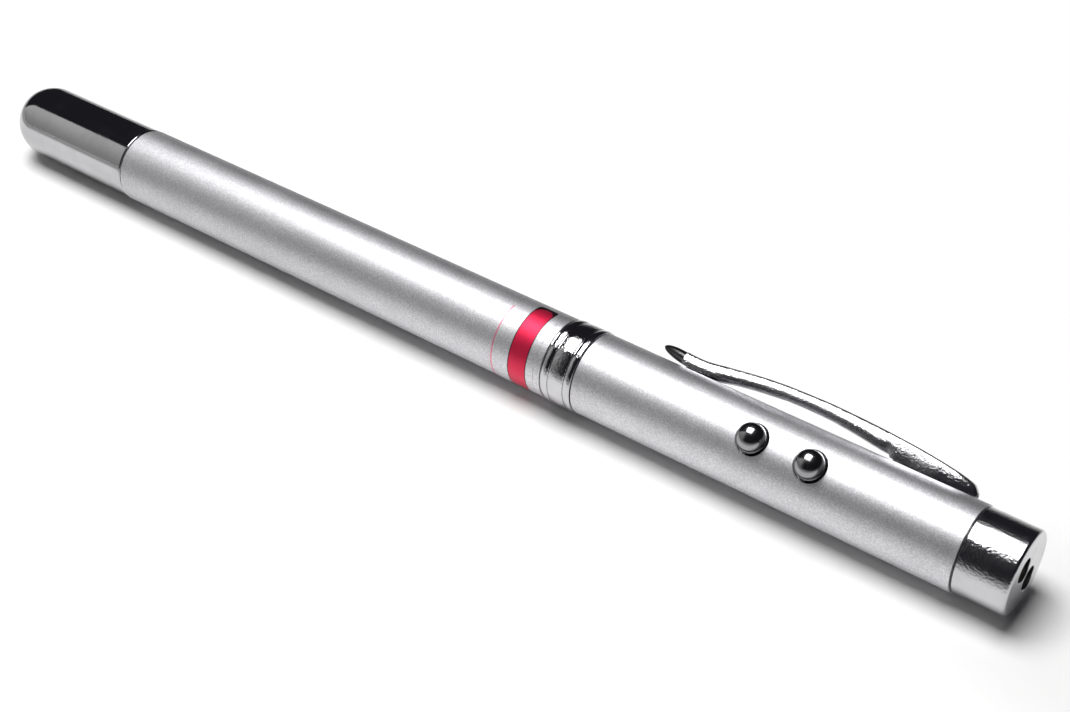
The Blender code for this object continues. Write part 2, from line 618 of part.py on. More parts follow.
def make_lower_barrel():
    """Satin tube round the telescopic pointer, with a shallow recess for the printed film."""
    front, back = RING_BACK - SEAM_GAP, TAIL_SEAM + SEAM_GAP
    film_front = RING_BACK - FILM_SETBACK
    film_back = film_front - FILM_LENGTH
    recess = BARREL_RADIUS - FILM_RECESS
    profile = [(front, BARREL_RADIUS - BARREL_EDGE), (front - BARREL_EDGE, BARREL_RADIUS),
               (film_front + SEAM_GAP, BARREL_RADIUS), (film_front + SEAM_GAP, recess),
               (film_back - SEAM_GAP, recess), (film_back - SEAM_GAP, BARREL_RADIUS),
               (back + BARREL_EDGE, BARREL_RADIUS), (back, BARREL_RADIUS - BARREL_EDGE), (back, BORE),
               (front, BORE)]
    turned("lower_barrel", profile, SATIN, SHELL_STEPS, closed=True)
    turned("label_film", tube_profile(film_front, film_back, BARREL_RADIUS, BARREL_RADIUS - FILM_THICKNESS),
           FILM, SHELL_STEPS, closed=True)


def make_pointer_seat():
    """Plug and bush that hold the pointer's base tube in the lower barrel."""
    pocket = BASE_TUBE_RADIUS + FIT_GAP
    floor = ANCHOR_FRONT - ANCHOR_FLOOR
    turned("pointer_anchor",
           [(ANCHOR_FRONT, 0), (ANCHOR_FRONT, PLUG_RADIUS), (ANCHOR_BACK, PLUG_RADIUS), (ANCHOR_BACK, pocket),
            (floor, pocket), (floor, 0)], WHITE)
    bush = tube_profile(TAIL_SEAM + BUSH_INSIDE, TAIL_SEAM - BUSH_PROUD, PLUG_RADIUS, BUSH_BORE, CAP_EDGE)
    turned("tail_bush", bush, CHROME, SHELL_STEPS, closed=True)
    turned("pointer_base_tube",
           tube_profile(BASE_TUBE_FRONT, BASE_TUBE_BACK, BASE_TUBE_RADIUS, BASE_TUBE_RADIUS - TUBE_WALL),
           STEEL, closed=True)


def make_sections():
    """Sliding tubes of the pointer, each inside the one before. Returns the last one's radius."""
    outer = BASE_TUBE_RADIUS
    for i in range(SECTION_COUNT):
        outer -= TUBE_WALL + RUN_GAP
        front = BASE_TUBE_FRONT - (i + 1) * SECTION_SETBACK
        back = BASE_TUBE_BACK - (i + 1) * SECTION_STEP
        if i == SECTION_COUNT - 1:
            back = HEAD_FRONT - HEAD_SOCKET
        section = tube_profile(front, back, outer, outer - TUBE_WALL)
        turned(f"pointer_section_{i + 1}", section, CHROME, closed=True)
    return outer


def make_writing_head(section_radius):
    """Turned head on the last section. Its collar is the grip that pulls the pointer out."""
    socket = section_radius + FIT_GAP
    collar_back = HEAD_FRONT - HEAD_COLLAR
    neck_back = collar_back - HEAD_NECK
    socket_back = HEAD_FRONT - HEAD_SOCKET - SEAM_GAP
    bore = REFILL_RADIUS + FIT_GAP
    mouth_front = HEAD_BACK + HEAD_MOUTH
    profile = [(HEAD_FRONT, HEAD_COLLAR_RADIUS - HEAD_EDGE), (HEAD_FRONT - HEAD_EDGE, HEAD_COLLAR_RADIUS),
               (collar_back + HEAD_EDGE, HEAD_COLLAR_RADIUS), (collar_back, HEAD_COLLAR_RADIUS - HEAD_EDGE),
               (collar_back, HEAD_NECK_RADIUS), (neck_back, HEAD_NECK_RADIUS), (HEAD_BACK, HEAD_TIP_RADIUS),
               (HEAD_BACK, HEAD_MOUTH_RADIUS), (mouth_front, HEAD_MOUTH_RADIUS), (mouth_front, bore),
               (socket_back, bore), (socket_back, socket), (HEAD_FRONT, socket)]
    turned("writing_head", profile, CHROME, closed=True)


def make_refill():
    """Ink refill in the last section and the head: tube, ink, point and ball."""
    point_front = HEAD_BACK + HEAD_MOUTH + SEAM_GAP + POINT_BODY
    point_shoulder = point_front - POINT_BODY
    stem_back = point_shoulder - POINT_STEM
    point_back = stem_back - POINT_CONE
    socket = REFILL_RADIUS - REFILL_WALL
    tube_back = point_front + SEAM_GAP
    tube_front = tube_back + REFILL_LENGTH
    tube = tube_profile(tube_front, tube_back, REFILL_RADIUS, socket)
    turned("refill_tube", tube, WHITE, SMALL_STEPS, closed=True)
    ink_front = tube_back + INK_SHARE * REFILL_LENGTH
    turned("ink_column", rod_profile(ink_front, tube_back, socket - INK_GAP), INK, SMALL_STEPS // 2)
    turned("refill_point",
           [(point_front, 0), (point_front, REFILL_RADIUS), (point_shoulder, REFILL_RADIUS),
            (point_shoulder, POINT_STEM_RADIUS), (stem_back, POINT_STEM_RADIUS),
            (point_back, POINT_MOUTH_RADIUS), (point_back, 0)], BRASS, SMALL_STEPS)
    mesh = bpy.data.meshes.new("refill_ball")
    shape = bmesh.new()
    bmesh.ops.create_uvsphere(shape, u_segments=SMALL_STEPS // 2, v_segments=ARC_STEPS, radius=BALL_RADIUS)
    shape.to_mesh(mesh)
    shape.free()
    smooth(mesh)
    add_piece("refill_ball", mesh, STEEL, PEN, (point_back - BALL_GAP - BALL_RADIUS, 0, 0))


def make_tail_cap():
    """Domed chromed cap on the bush, with a liner inside that grips the writing head's collar."""
    outer = BARREL_RADIUS - CAP_INSET
    rim = TAIL_SEAM - SEAM_GAP
    dome = CAP_END + outer
    profile = [*reversed(arc(dome, 0, BORE, 90, 180)), (rim, BORE), (rim, outer - CAP_EDGE),
               (rim - CAP_EDGE, outer), *arc(dome, 0, outer, 90, 180, 8)]
    turned("tail_cap", profile, CHROME, SHELL_STEPS)
    front = TAIL_SEAM - LINER_SETBACK
    turned("cap_liner", tube_profile(front, front - LINER_LENGTH, PLUG_RADIUS, HEAD_COLLAR_RADIUS + FIT_GAP),
           WHITE, closed=True)


def clip_section(top_share, under_share, width_share):
    """Half of the clip's outline across the pen, from its lower edge up to its crown: (side, height)."""
    half = CLIP_WIDTH * width_share / 2
    low = math.sqrt(CLIP_SEAT**2 - half**2) + under_share * CLIP_ARCH
    top = CLIP_SEAT + top_share * CLIP_ARCH
    shoulder = min(CLIP_SHOULDER, half / 2, (top - low) / 2)
    return [(half, low), (half, top - CLIP_CROWN - shoulder), (half - shoulder, top - CLIP_CROWN), (0, top)]


def clip_crown(x):
    """Height of the clip's crown over the pen's axis at x."""
    share = (-x - CLIP_SETBACK) / CLIP_LENGTH
    for one, two in zip(CLIP_SHARES, CLIP_SHARES[1:]):
        if one[0] <= share <= two[0]:
            mix = (share - one[0]) / (two[0] - one[0])
            return CLIP_SEAT + CLIP_ARCH * (one[1] + mix * (two[1] - one[1]))
    return CLIP_SEAT


def make_clip():
    """Sprung clip folded from sheet, a channel that is open towards the barrel, with a hook at its root."""
    mesh = bpy.data.meshes.new("pocket_clip")
    shape = bmesh.new()
    rows = []
    for along, top, under, width in CLIP_SHARES:
        half = clip_section(top, under, width)
        row = half + [(-side, height) for side, height in reversed(half[:-1])]
        x = -along * CLIP_LENGTH
        rows.append([shape.verts.new((x, side, height - CLIP_SEAT)) for side, height in row])
    for one, two in zip(rows, rows[1:]):
        for a, b, c, d in zip(one, one[1:], two[1:], two):
            shape.faces.new((a, b, c, d))
    bmesh.ops.recalc_face_normals(shape, faces=shape.faces)
    crown = rows[0][3].link_faces[0]
    if crown.normal.z < 0:
        bmesh.ops.reverse_faces(shape, faces=shape.faces)
    shape.to_mesh(mesh)
    shape.free()
    smooth(mesh)
    # the origin is on the axis about which the clip lifts, at its root on the barrel
    clip = add_piece("pocket_clip", mesh, CHROME, CLIP_SIDE, (-CLIP_SETBACK, 0, CLIP_SEAT))
    sheet = clip.modifiers.new("sheet", "SOLIDIFY")
    sheet.thickness = CLIP_SHEET
    sheet.offset = -1
    sheet.use_even_offset = True
    hook_x = -HOOK_SETBACK - HOOK_LENGTH / 2
    hook_top = clip_crown(hook_x) - CLIP_SHEET / 2
    hook_end = BARREL_RADIUS - HOOK_DEPTH
    hook = box_mesh("clip_hook", HOOK_LENGTH, HOOK_WIDTH, hook_top - hook_end)
    boolean(clip, make_cutter("clip_hook", hook, CLIP_SIDE, (hook_x, 0, (hook_top + hook_end) / 2)), "UNION")


def set_down():
    """Moves the pen so that it lies on Z = 0 with the middle of its outer box over the origin."""
    bpy.context.view_layer.update()
    graph = bpy.context.evaluated_depsgraph_get()
    corners = []
    for piece in PIECES.objects:
        if piece.type == "MESH":
            evaluated = piece.evaluated_get(graph)
            mesh = evaluated.to_mesh()
            corners += [piece.matrix_world @ v.co for v in mesh.vertices]
            evaluated.to_mesh_clear()
    low = Vector([min(c[i] for c in corners) for i in range(3)])
    high = Vector([max(c[i] for c in corners) for i in range(3)])
    middle = (low + high) / 2
    PEN.location = (-middle.x, -middle.y, -low.z)


make_upper_barrel()
make_nose_cap()
make_lamp_holder()
make_laser()
make_lamp()
make_board()
make_buttons()
make_battery()
make_middle_ring()
make_lower_barrel()
make_pointer_seat()
make_writing_head(make_sections())
make_refill()
make_tail_cap()
make_clip()
set_down()
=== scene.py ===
"""Looks of the multifunction pen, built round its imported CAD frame.

Pieces are modelled along X about the pen's own axis, with x = 0 at the seam between nose and barrel,
and then settled at the place that the frame gives. All lengths are in metres.
"""
import json
from math import cos, pi, radians, sin, sqrt, tan

import bmesh
import bpy
from mathutils import Matrix, Vector


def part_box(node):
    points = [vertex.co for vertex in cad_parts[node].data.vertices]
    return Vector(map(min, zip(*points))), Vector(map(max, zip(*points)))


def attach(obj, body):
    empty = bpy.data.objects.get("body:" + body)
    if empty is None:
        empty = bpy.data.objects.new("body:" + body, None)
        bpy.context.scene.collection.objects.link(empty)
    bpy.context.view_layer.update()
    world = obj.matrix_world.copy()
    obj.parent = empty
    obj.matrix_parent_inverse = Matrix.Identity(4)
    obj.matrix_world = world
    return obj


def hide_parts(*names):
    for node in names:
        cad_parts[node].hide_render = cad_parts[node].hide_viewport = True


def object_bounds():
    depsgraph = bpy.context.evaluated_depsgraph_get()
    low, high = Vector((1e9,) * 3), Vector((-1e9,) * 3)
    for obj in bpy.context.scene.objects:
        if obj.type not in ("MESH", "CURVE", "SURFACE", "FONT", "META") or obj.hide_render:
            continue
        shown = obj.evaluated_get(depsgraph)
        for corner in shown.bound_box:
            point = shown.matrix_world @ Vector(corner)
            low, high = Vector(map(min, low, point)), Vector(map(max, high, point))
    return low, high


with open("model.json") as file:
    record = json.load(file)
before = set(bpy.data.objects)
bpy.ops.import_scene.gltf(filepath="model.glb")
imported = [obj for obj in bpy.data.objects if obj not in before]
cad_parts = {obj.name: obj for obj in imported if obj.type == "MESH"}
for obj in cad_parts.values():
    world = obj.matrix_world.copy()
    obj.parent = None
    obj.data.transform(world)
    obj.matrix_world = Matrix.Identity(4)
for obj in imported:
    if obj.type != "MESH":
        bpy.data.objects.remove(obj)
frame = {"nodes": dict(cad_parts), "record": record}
CAD_LOW, CAD_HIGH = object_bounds()

# Sizes of the pen, as in its CAD source
BARREL_RADIUS = 0.0055
BARREL_BORE = 0.0048
PLUG_RADIUS = 0.00465
NOSE_LENGTH = 0.0065
NOSE_RADIUS = 0.00536
NOSE_SPIGOT = 0.0043
NOSE_BORE = 0.0039
NOSE_FACE_WALL = 0.0015
APERTURE_RADIUS = 0.00155
APERTURE_OFFSET = 0.00175
APERTURE_LIP = 0.00007
APERTURE_FLARE = 0.0006
BUTTON_ANGLE = radians(54)
CLIP_ANGLE = radians(144)
BUTTON_SETBACK = 0.01965
BUTTON_SPACING = 0.00785
BUTTON_HOLE = 0.00212
CAP_RADIUS = 0.00545
SEAM_GAP = 0.00015
NOSE_ROUNDING = 0.0004
FIT_GAP = 0.00015
HOUSING_RADIUS = 0.0016
HOUSING_BORE = 0.0012
HOUSING_LENGTH = 0.0148
LENS_GAP = 0.0001
LENS_RIM = 0.0001
LENS_THICKNESS = 0.0009
LENS_CROWN = 0.00025
LENS_SETBACK = 0.0004
LED_BACK = 0.00045
LED_RADIUS = 0.0015
LED_LENGTH = 0.0044
LED_FLANGE = 0.00095
LED_FLANGE_RADIUS = 0.0017
BUTTON_HEAD_RADIUS = 0.00176
BUTTON_COLLAR_RADIUS = 0.00188
BUTTON_UNDERCUT = 0.00163
BUTTON_LIP = 0.0001
BUTTON_COLLAR_PROUD = 0.0004
BUTTON_NECK_PROUD = 0.0007
BUTTON_PROUD = 0.002098
BUTTON_FLANGE_RADIUS = 0.0023
BUTTON_FLANGE = 0.0005
BUTTON_BOTTOM = 0.00335
RING_PROUD = 0.00018
RING_GROOVE = 0.00012
RING_GROOVE_DEPTH = 0.00022
RING_CROWN = 0.00005
RING_STEPS = 8            # along the crown of each form
RING_FORMS = (            # width and rise of each form round the ring, from the front
    (0.000975, 0.00022), (0.00226, 0.00022), (0.000975, 0.00022), (0.00005, 0.00004))
THREAD_PITCH = 0.001
THREAD_RELIEF = 0.0006
THREAD_DEPTH = 0.0002
THREAD_BUMP = 0.00025
RING_BORE = 0.0034
RING_END_WALL = 0.0014
FILM_THICKNESS = 0.00012
FILM_RECESS = 0.00025
FILM_JOIN = 0.000012      # between the film's ends and the recess
BASE_TUBE_RADIUS = 0.0036
TUBE_WALL = 0.00025
RUN_GAP = 0.00012
SECTION_COUNT = 5
HEAD_SOCKET = 0.0020
HEAD_COLLAR_RADIUS = 0.0039
HEAD_COLLAR = 0.0032
HEAD_NECK_RADIUS = 0.0027
HEAD_NECK = 0.0035
HEAD_STEP = 0.0002        # in radius, from the neck to the cone
HEAD_STEP_RUN = 0.0001
HEAD_STEP_END = 0.0005
HEAD_GROOVE = 0.0002
HEAD_GROOVE_COUNT = 3
HEAD_SWELL = 0.00016      # of the cone
HEAD_CONE_STEPS = 10
HEAD_TIP_RADIUS = 0.00135
HEAD_MOUTH_RADIUS = 0.00095
HEAD_MOUTH = 0.0016
REFILL_RADIUS = 0.00115
REFILL_WALL = 0.00025
POINT_BODY = 0.0034
POINT_STEM_RADIUS = 0.0008
POINT_STEM = 0.0028
POINT_MOUTH_RADIUS = 0.0003
POINT_CHAMFER = 0.0001
CAP_EDGE = 0.0002
CLIP_SEAT = 0.0057
CLIP_SETBACK = 0.0022
CLIP_LENGTH = 0.0433
CLIP_ARCH = 0.00315
CLIP_WIDTH = 0.00305
CLIP_SHEET = 0.00035
CLIP_SHOULDER = 0.0004
CLIP_CROWN = 0.00016
CLIP_SIDES = (            # at its root and on its arch
    (0.78, 0.42),         # share of the wall's height where it stands widest
    (radians(3), radians(22)))  # lean of the wall's upper end
CLIP_ROOT = (0.24, 0.30)  # shares of the clip's length between which its root goes over into the arch
CLIP_ROWS = 112
CLIP_WALL_STEPS = 8
CLIP_CORNER_STEPS = 5
CLIP_ENDS_SHARE = 0.35    # how far its rows crowd towards both ends, where 0 is evenly spaced
CLIP_EDGE = 0.00005
CLIP_EDGE_ANGLE = radians(50)  # a corner as sharp as this is softened
CHANNEL_SHARE = 0.922     # of the clip's length, where its channel ends and the bead at its tip shows
BEAD_LENGTH = 0.0066
BEAD_WIDTH = 0.0018
BEAD_HEIGHT = 0.00162
BEAD_RISE = 0.00092       # of its middle over the seat
BEAD_TURN = radians(7)    # how far its back end points up
BEAD_OVERHANG = 0.0002    # past the clip's end
HOOK_SETBACK = 0.0107
HOOK_LENGTH = 0.0010
HOOK_WIDTH = 0.0009
HOOK_DEPTH = 0.0013
SLOT_GAP = 0.0003

# The clip's stations: share of its length, of its arch for the top edge, of its arch for the lower
# edge above the seat, and of its width
CLIP_SHARES = (
    (0.000, 0.16, 0.00, 0.34), (0.007, 0.28, 0.00, 0.46), (0.018, 0.42, 0.00, 0.58),
    (0.035, 0.49, 0.00, 0.70), (0.061, 0.56, 0.00, 0.83), (0.088, 0.62, 0.00, 0.90),
    (0.141, 0.71, 0.00, 1.00), (0.194, 0.79, 0.00, 1.00), (0.249, 0.85, 0.00, 1.00),
    (0.266, 0.87, 0.25, 1.00), (0.300, 0.91, 0.30, 0.99), (0.358, 0.95, 0.40, 0.98),
    (0.413, 0.98, 0.48, 0.95), (0.471, 1.00, 0.54, 0.91), (0.529, 0.99, 0.55, 0.88),
    (0.589, 0.97, 0.53, 0.84), (0.649, 0.92, 0.45, 0.81), (0.707, 0.84, 0.35, 0.78),
    (0.767, 0.73, 0.21, 0.76), (0.799, 0.67, 0.10, 0.76), (0.831, 0.60, 0.00, 0.76),
    (0.873, 0.55, 0.00, 0.76), (0.908, 0.56, 0.00, 0.76), (0.931, 0.60, 0.05, 0.75),
    (0.954, 0.65, 0.12, 0.70), (0.972, 0.70, 0.21, 0.61), (0.988, 0.69, 0.30, 0.48),
    (1.000, 0.62, 0.37, 0.30),
)

# Roundness and softness of the finished pieces
BARREL_SEGMENTS = 160
TUBE_SEGMENTS = 96
BUTTON_SEGMENTS = 80
SMALL_SEGMENTS = 64
REFILL_SEGMENTS = 48
UPPER_EDGE = 0.00006      # how far the edges of each piece are softened
LOWER_EDGE = 0.00004
NOSE_EDGE = 0.00012
PIPE_EDGE = 0.00008
HEAD_EDGE = 0.00014
POINT_EDGE = 0.00006
COLLAR_EDGE = (0.00008, 0.0001)
TUBE_ROLL_SHARE = 0.6     # of a tube's wall, at its mouth
FLAT_CORNER = radians(165)  # a corner as open as this stays
ARM_REACHES = 2.2         # a side is at least this many times as long as the softening at its end
GUARD_REACHES = 2         # how many times as far off the point lies that keeps a long face straight
END_ROW = 0.002           # from a barrel's end to the row of points that keeps its shading straight
SLOT_ROW = 0.001          # the same from the clip's slot, a button's hole, and so on
HOLE_ROW = 0.0006
NOSE_ROW = 0.003
NOSE_FACE_SHARES = (0, 0.5, 0.9)
HOUSING_ROW = 0.004
LED_ROW = 0.0003
TUBE_ROW = 0.003
POLE = 0.000001           # radius at which a turned piece closes on the axis
MERGE = 0.0000025         # points closer than this are one
CLIP_MERGE = 0.0000015    # the same on the clip, whose first rows are closer together
SMOOTH_ANGLE = radians(28)

# Places that the frame gives
AXIS_LOW, AXIS_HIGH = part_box("tail_cap")
AXIS_Y = (AXIS_LOW.y + AXIS_HIGH.y) / 2
AXIS_Z = (AXIS_LOW.z + AXIS_HIGH.z) / 2
NOSE_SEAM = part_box("nose_cap")[1].x - NOSE_LENGTH
PEN_PLACE = Vector((NOSE_SEAM, AXIS_Y, AXIS_Z))


def along(node):
    """Front and back of a CAD node, along the pen from the nose seam."""
    low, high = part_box(node)
    return high.x - NOSE_SEAM, low.x - NOSE_SEAM


BARREL_FRONT, BARREL_BACK = along("upper_barrel")
LOWER_FRONT, LOWER_BACK = along("lower_barrel")
FILM_FRONT, FILM_BACK = along("label_film")
RING_THREAD_END, RING_TAIL_END = along("middle_ring")
RING_FRONT, RING_BACK = BARREL_BACK - SEAM_GAP, LOWER_FRONT + SEAM_GAP
CAP_RIM, CAP_END = along("tail_cap")


# Shader groups


def new_group(name, sizes, outputs):
    """Shader group, what it is given and its end. It takes a Vector, and sizes with their usual values."""
    group = bpy.data.node_groups.new(name, "ShaderNodeTree")
    group.interface.new_socket("Vector", in_out="INPUT", socket_type="NodeSocketVector")
    for label, usual in sizes.items():
        socket = group.interface.new_socket(label, in_out="INPUT", socket_type="NodeSocketFloat")
        socket.default_value = usual
    for label in outputs:
        kind = "NodeSocketColor" if label == "Color" else "NodeSocketFloat"
        group.interface.new_socket(label, in_out="OUTPUT", socket_type=kind)
    return group, group.nodes.new("NodeGroupInput").outputs, group.nodes.new("NodeGroupOutput")


def feed(node, **values):
    """Gives a node's inputs their values or sources, each by its name, or by its number after in_."""
    for name, value in values.items():
        key = name.removeprefix("in_").replace("_", " ")
        socket = node.inputs[int(key) if key.isdigit() else key]
        if isinstance(value, bpy.types.NodeSocket):
            node.id_data.links.new(value, socket)
        else:
            socket.default_value = value


def add_node(tree, kind, **settings):
    """Node in a tree. What starts with in_ goes to its inputs, the rest are settings of its own."""
    node = tree.nodes.new("ShaderNode" + kind)
    inputs = {name: value for name, value in settings.items() if name.startswith("in_")}
    for name, value in settings.items():
        if name not in inputs:
            setattr(node, name, value)
    feed(node, **inputs)
    return node


def calculate(tree, operation, *values):
    """Output of a Math node for these values or sources."""
    inputs = {f"in_{i}": value for i, value in enumerate(values)}
    return add_node(tree, "Math", operation=operation, **inputs).outputs[0]


def times(tree, one, two):
    return calculate(tree, "MULTIPLY", one, two)


def minus(tree, one, two):
    return calculate(tree, "SUBTRACT", one, two)


def larger(tree, one, two):
    return calculate(tree, "MAXIMUM", one, two)


def spread(tree, value, low, high, to_low=0.0, to_high=1.0):
    """The value mapped from one range to another, smoothly and within its limits."""
    return add_node(tree, "MapRange", interpolation_type="SMOOTHSTEP", in_0=value, in_1=low,
                    in_2=high, in_3=to_low, in_4=to_high).outputs[0]


def add_noise(tree, point, scale, **settings):
    """Height of a noise texture at the point. The scale is one over its size in metres."""
    return add_node(tree, "TexNoise", in_Vector=point, in_Scale=scale, **settings).outputs[0]


def build_pen_place_group():
    """Place on the pen: x from the nose seam, radius, and angle from -Y over the top, in radians."""
    group, given, end = new_group("pen_place", {}, ("Along", "Radius", "Angle"))
    parts = add_node(group, "SeparateXYZ", in_0=given["Vector"]).outputs
    angle = calculate(group, "ARCTAN2", parts["Z"], times(group, parts["Y"], -1.0))
    squares = [calculate(group, "POWER", parts[axis], 2.0) for axis in "YZ"]
    radius = calculate(group, "SQRT", calculate(group, "ADD", *squares))
    feed(end, Along=parts["X"], Radius=radius, Angle=angle)
    return group


def build_grain_group():
    """Fine sparkle grain of a satin coat: a height and a mask of brighter specks."""
    group, given, end = new_group("fine_grain", {"Grain Size": 0.0001}, ("Height", "Specks"))
    scale = calculate(group, "DIVIDE", 1.0, given["Grain Size"])
    noise = add_noise(group, given["Vector"], scale, in_Detail=2.0, in_Roughness=0.65)
    cells = add_node(group, "TexVoronoi", in_Vector=given["Vector"], in_Scale=scale)
    pick = add_node(group, "SeparateColor", in_0=cells.outputs["Color"]).outputs[0]
    feed(end, Height=noise, Specks=spread(group, pick, 0.2, 1.0))
    return group


def build_wear_group():
    """Marks of use: fine scratches, and the soft smudges that handling leaves."""
    group, given, end = new_group("wear", {"Scratch Spacing": 0.0012, "Smudge Size": 0.006},
                                  ("Scratches", "Smudges"))
    stretch = add_node(group, "Mapping", in_Vector=given["Vector"], in_Rotation=(0.5, 0.35, 0.2),
                       in_Scale=(0.12, 1.0, 1.0)).outputs[0]
    lines = add_noise(group, stretch, calculate(group, "DIVIDE", 1.0, given["Scratch Spacing"]),
                      in_Detail=3.0, in_Distortion=0.6)
    off_line = calculate(group, "ABSOLUTE", minus(group, lines, 0.5))
    smudge = add_noise(group, given["Vector"], calculate(group, "DIVIDE", 1.0, given["Smudge Size"]),
                       in_Detail=4.0, in_Roughness=0.6)
    feed(end, Scratches=spread(group, off_line, 0.0, 0.012, 1.0, 0.0),
         Smudges=spread(group, smudge, 0.35, 0.7))
    return group


PLACE = build_pen_place_group()
GRAIN = build_grain_group()
WEAR = build_wear_group()


# Materials

CHROME_BRIGHT = (0.60, 0.60, 0.615)
CHROME_DULL = (0.54, 0.535, 0.55)
ROUGHER = 0.12            # how much rougher a handled place is
LINE_SIZE = 0.00009       # of the fine lines that turning leaves
LINE_RELIEF = 0.000004
SATIN_RELIEF = 0.000012
PLASTIC_RELIEF = 0.00001
TRACK_RELIEF = 0.00003
CLEAR_RELIEF = 0.000002


def new_material(name, metallic, roughness=0.5):
    """Material with its Principled shader, and the surface's place in the pen's own frame."""
    material = bpy.data.materials.new(name)
    material.use_nodes = True
    tree = material.node_tree
    shader = tree.nodes["Principled BSDF"]
    feed(shader, Metallic=metallic, Roughness=roughness)
    source = add_node(tree, "TexCoord").outputs["Object"]
    point = add_node(tree, "Mapping", in_Vector=source, in_Location=-PEN_PLACE).outputs[0]
    return material, tree, shader, point


def use_group(tree, group, **values):
    return add_node(tree, "Group", node_tree=group, **values).outputs


def mix_colour(tree, share, one, two):
    """Colour between one and two by the share. Each is a colour or a source."""
    one, two = ((*value, 1.0) if isinstance(value, tuple) else value for value in (one, two))
    return add_node(tree, "Mix", data_type="RGBA", in_0=share, in_6=one, in_7=two).outputs[2]


def add_bump(shader, height, depth):
    """Relief of the given depth in metres on the shader."""
    bump = add_node(shader.id_data, "Bump", in_Strength=1.0, in_Distance=depth, in_Height=height)
    feed(shader, Normal=bump.outputs[0])
    return bump


def build_satin_group():
    """Silver coat with a fine sparkle, a little duller where it is handled."""
    group, given, end = new_group("satin_coat", {}, ("Color", "Roughness", "Height"))
    grain = use_group(group, GRAIN, in_Vector=given["Vector"], in_Grain_Size=0.00011)
    wear = use_group(group, WEAR, in_Vector=given["Vector"], in_Scratch_Spacing=0.002)
    tint = mix_colour(group, grain["Specks"], (0.60, 0.595, 0.62), (0.80, 0.80, 0.815))
    colour = mix_colour(group, times(group, wear["Smudges"], 0.06), tint, (0.5, 0.49, 0.5))
    height = minus(group, grain["Height"], times(group, wear["Scratches"], 0.15))
    feed(end, Color=colour, Height=height,
         Roughness=spread(group, wear["Smudges"], 0.0, 1.0, 0.48, 0.51))
    return group


SATIN_COAT = build_satin_group()


def make_satin_silver():
    """Barrel finish."""
    material, tree, shader, point = new_material("satin_silver_coat", 1.0)
    coat = use_group(tree, SATIN_COAT, in_Vector=point)
    feed(shader, Base_Color=coat["Color"], Roughness=coat["Roughness"])
    add_bump(shader, coat["Height"], SATIN_RELIEF)
    return material


def make_chrome(name, ripple_size, ripple_depth, roughness=(0.05, 0.13), shade=1.0):
    """Bright plating with the faint ripple of the metal under it, fine scratches and finger marks."""
    material, tree, shader, point = new_material(name, 1.0)
    wear = use_group(tree, WEAR, in_Vector=point)
    ripple = add_noise(tree, point, 1 / ripple_size, in_Detail=3.0, in_Roughness=0.55)
    bright, dull = (tuple(shade * part for part in tone) for tone in (CHROME_BRIGHT, CHROME_DULL))
    marks = larger(tree, wear["Smudges"], times(tree, wear["Scratches"], 0.8))
    feed(shader, Base_Color=mix_colour(tree, wear["Smudges"], bright, dull),
         Roughness=spread(tree, marks, 0.0, 1.0, *roughness))
    add_bump(shader, minus(tree, ripple, times(tree, wear["Scratches"], 0.02)), ripple_depth)
    return material


def make_ring_chrome():
    """Plating of the middle ring, with the thread's helix on the spigot that screws into the barrel."""
    material = make_chrome("ring_chrome", 0.0004, 0.00004)
    tree = material.node_tree
    shader = tree.nodes["Principled BSDF"]
    ripple = shader.inputs["Normal"].links[0].from_socket
    point = tree.nodes["Mapping"].outputs[0]
    place = use_group(tree, PLACE, in_Vector=point)
    turns = minus(tree, calculate(tree, "DIVIDE", place["Along"], THREAD_PITCH),
                  calculate(tree, "DIVIDE", place["Angle"], 2 * pi))
    ridge = times(tree, calculate(tree, "PINGPONG", turns, 0.5), 2.0)
    in_front = calculate(tree, "GREATER_THAN", place["Along"], RING_FRONT + THREAD_RELIEF)
    outside = calculate(tree, "GREATER_THAN", place["Radius"], PLUG_RADIUS - SEAM_GAP)
    bump = add_bump(shader, times(tree, ridge, times(tree, in_front, outside)), THREAD_BUMP)
    feed(bump, Normal=ripple)
    return material


def make_turned_metal(name, bright, dark, roughness):
    """Turned or drawn metal: fine lines round the pen, and a few marks."""
    material, tree, shader, point = new_material(name, 1.0)
    wear = use_group(tree, WEAR, in_Vector=point)
    along_pen = use_group(tree, PLACE, in_Vector=point)["Along"]
    lines = add_node(tree, "TexNoise", noise_dimensions="1D", in_W=along_pen,
                     in_Scale=1 / LINE_SIZE, in_Detail=3.0).outputs[0]
    darker = larger(tree, times(tree, wear["Smudges"], 0.5), spread(tree, lines, 0.4, 0.7))
    feed(shader, Base_Color=mix_colour(tree, darker, bright, dark),
         Roughness=spread(tree, wear["Smudges"], 0.0, 1.0, roughness, roughness + ROUGHER))
    add_bump(shader, lines, LINE_RELIEF)
    return material


def make_plastic(name, colour, worn, roughness=0.45):
    """Moulded plastic with a fine texture and slightly paler rubbed places."""
    material, tree, shader, point = new_material(name, 0.0)
    grain = use_group(tree, GRAIN, in_Vector=point, in_Grain_Size=0.0002)
    wear = use_group(tree, WEAR, in_Vector=point, in_Smudge_Size=0.003)
    feed(shader, Base_Color=mix_colour(tree, times(tree, wear["Smudges"], 0.6), colour, worn),
         Roughness=spread(tree, wear["Smudges"], 0.0, 1.0, roughness, roughness + ROUGHER))
    add_bump(shader, grain["Height"], PLASTIC_RELIEF)
    return material


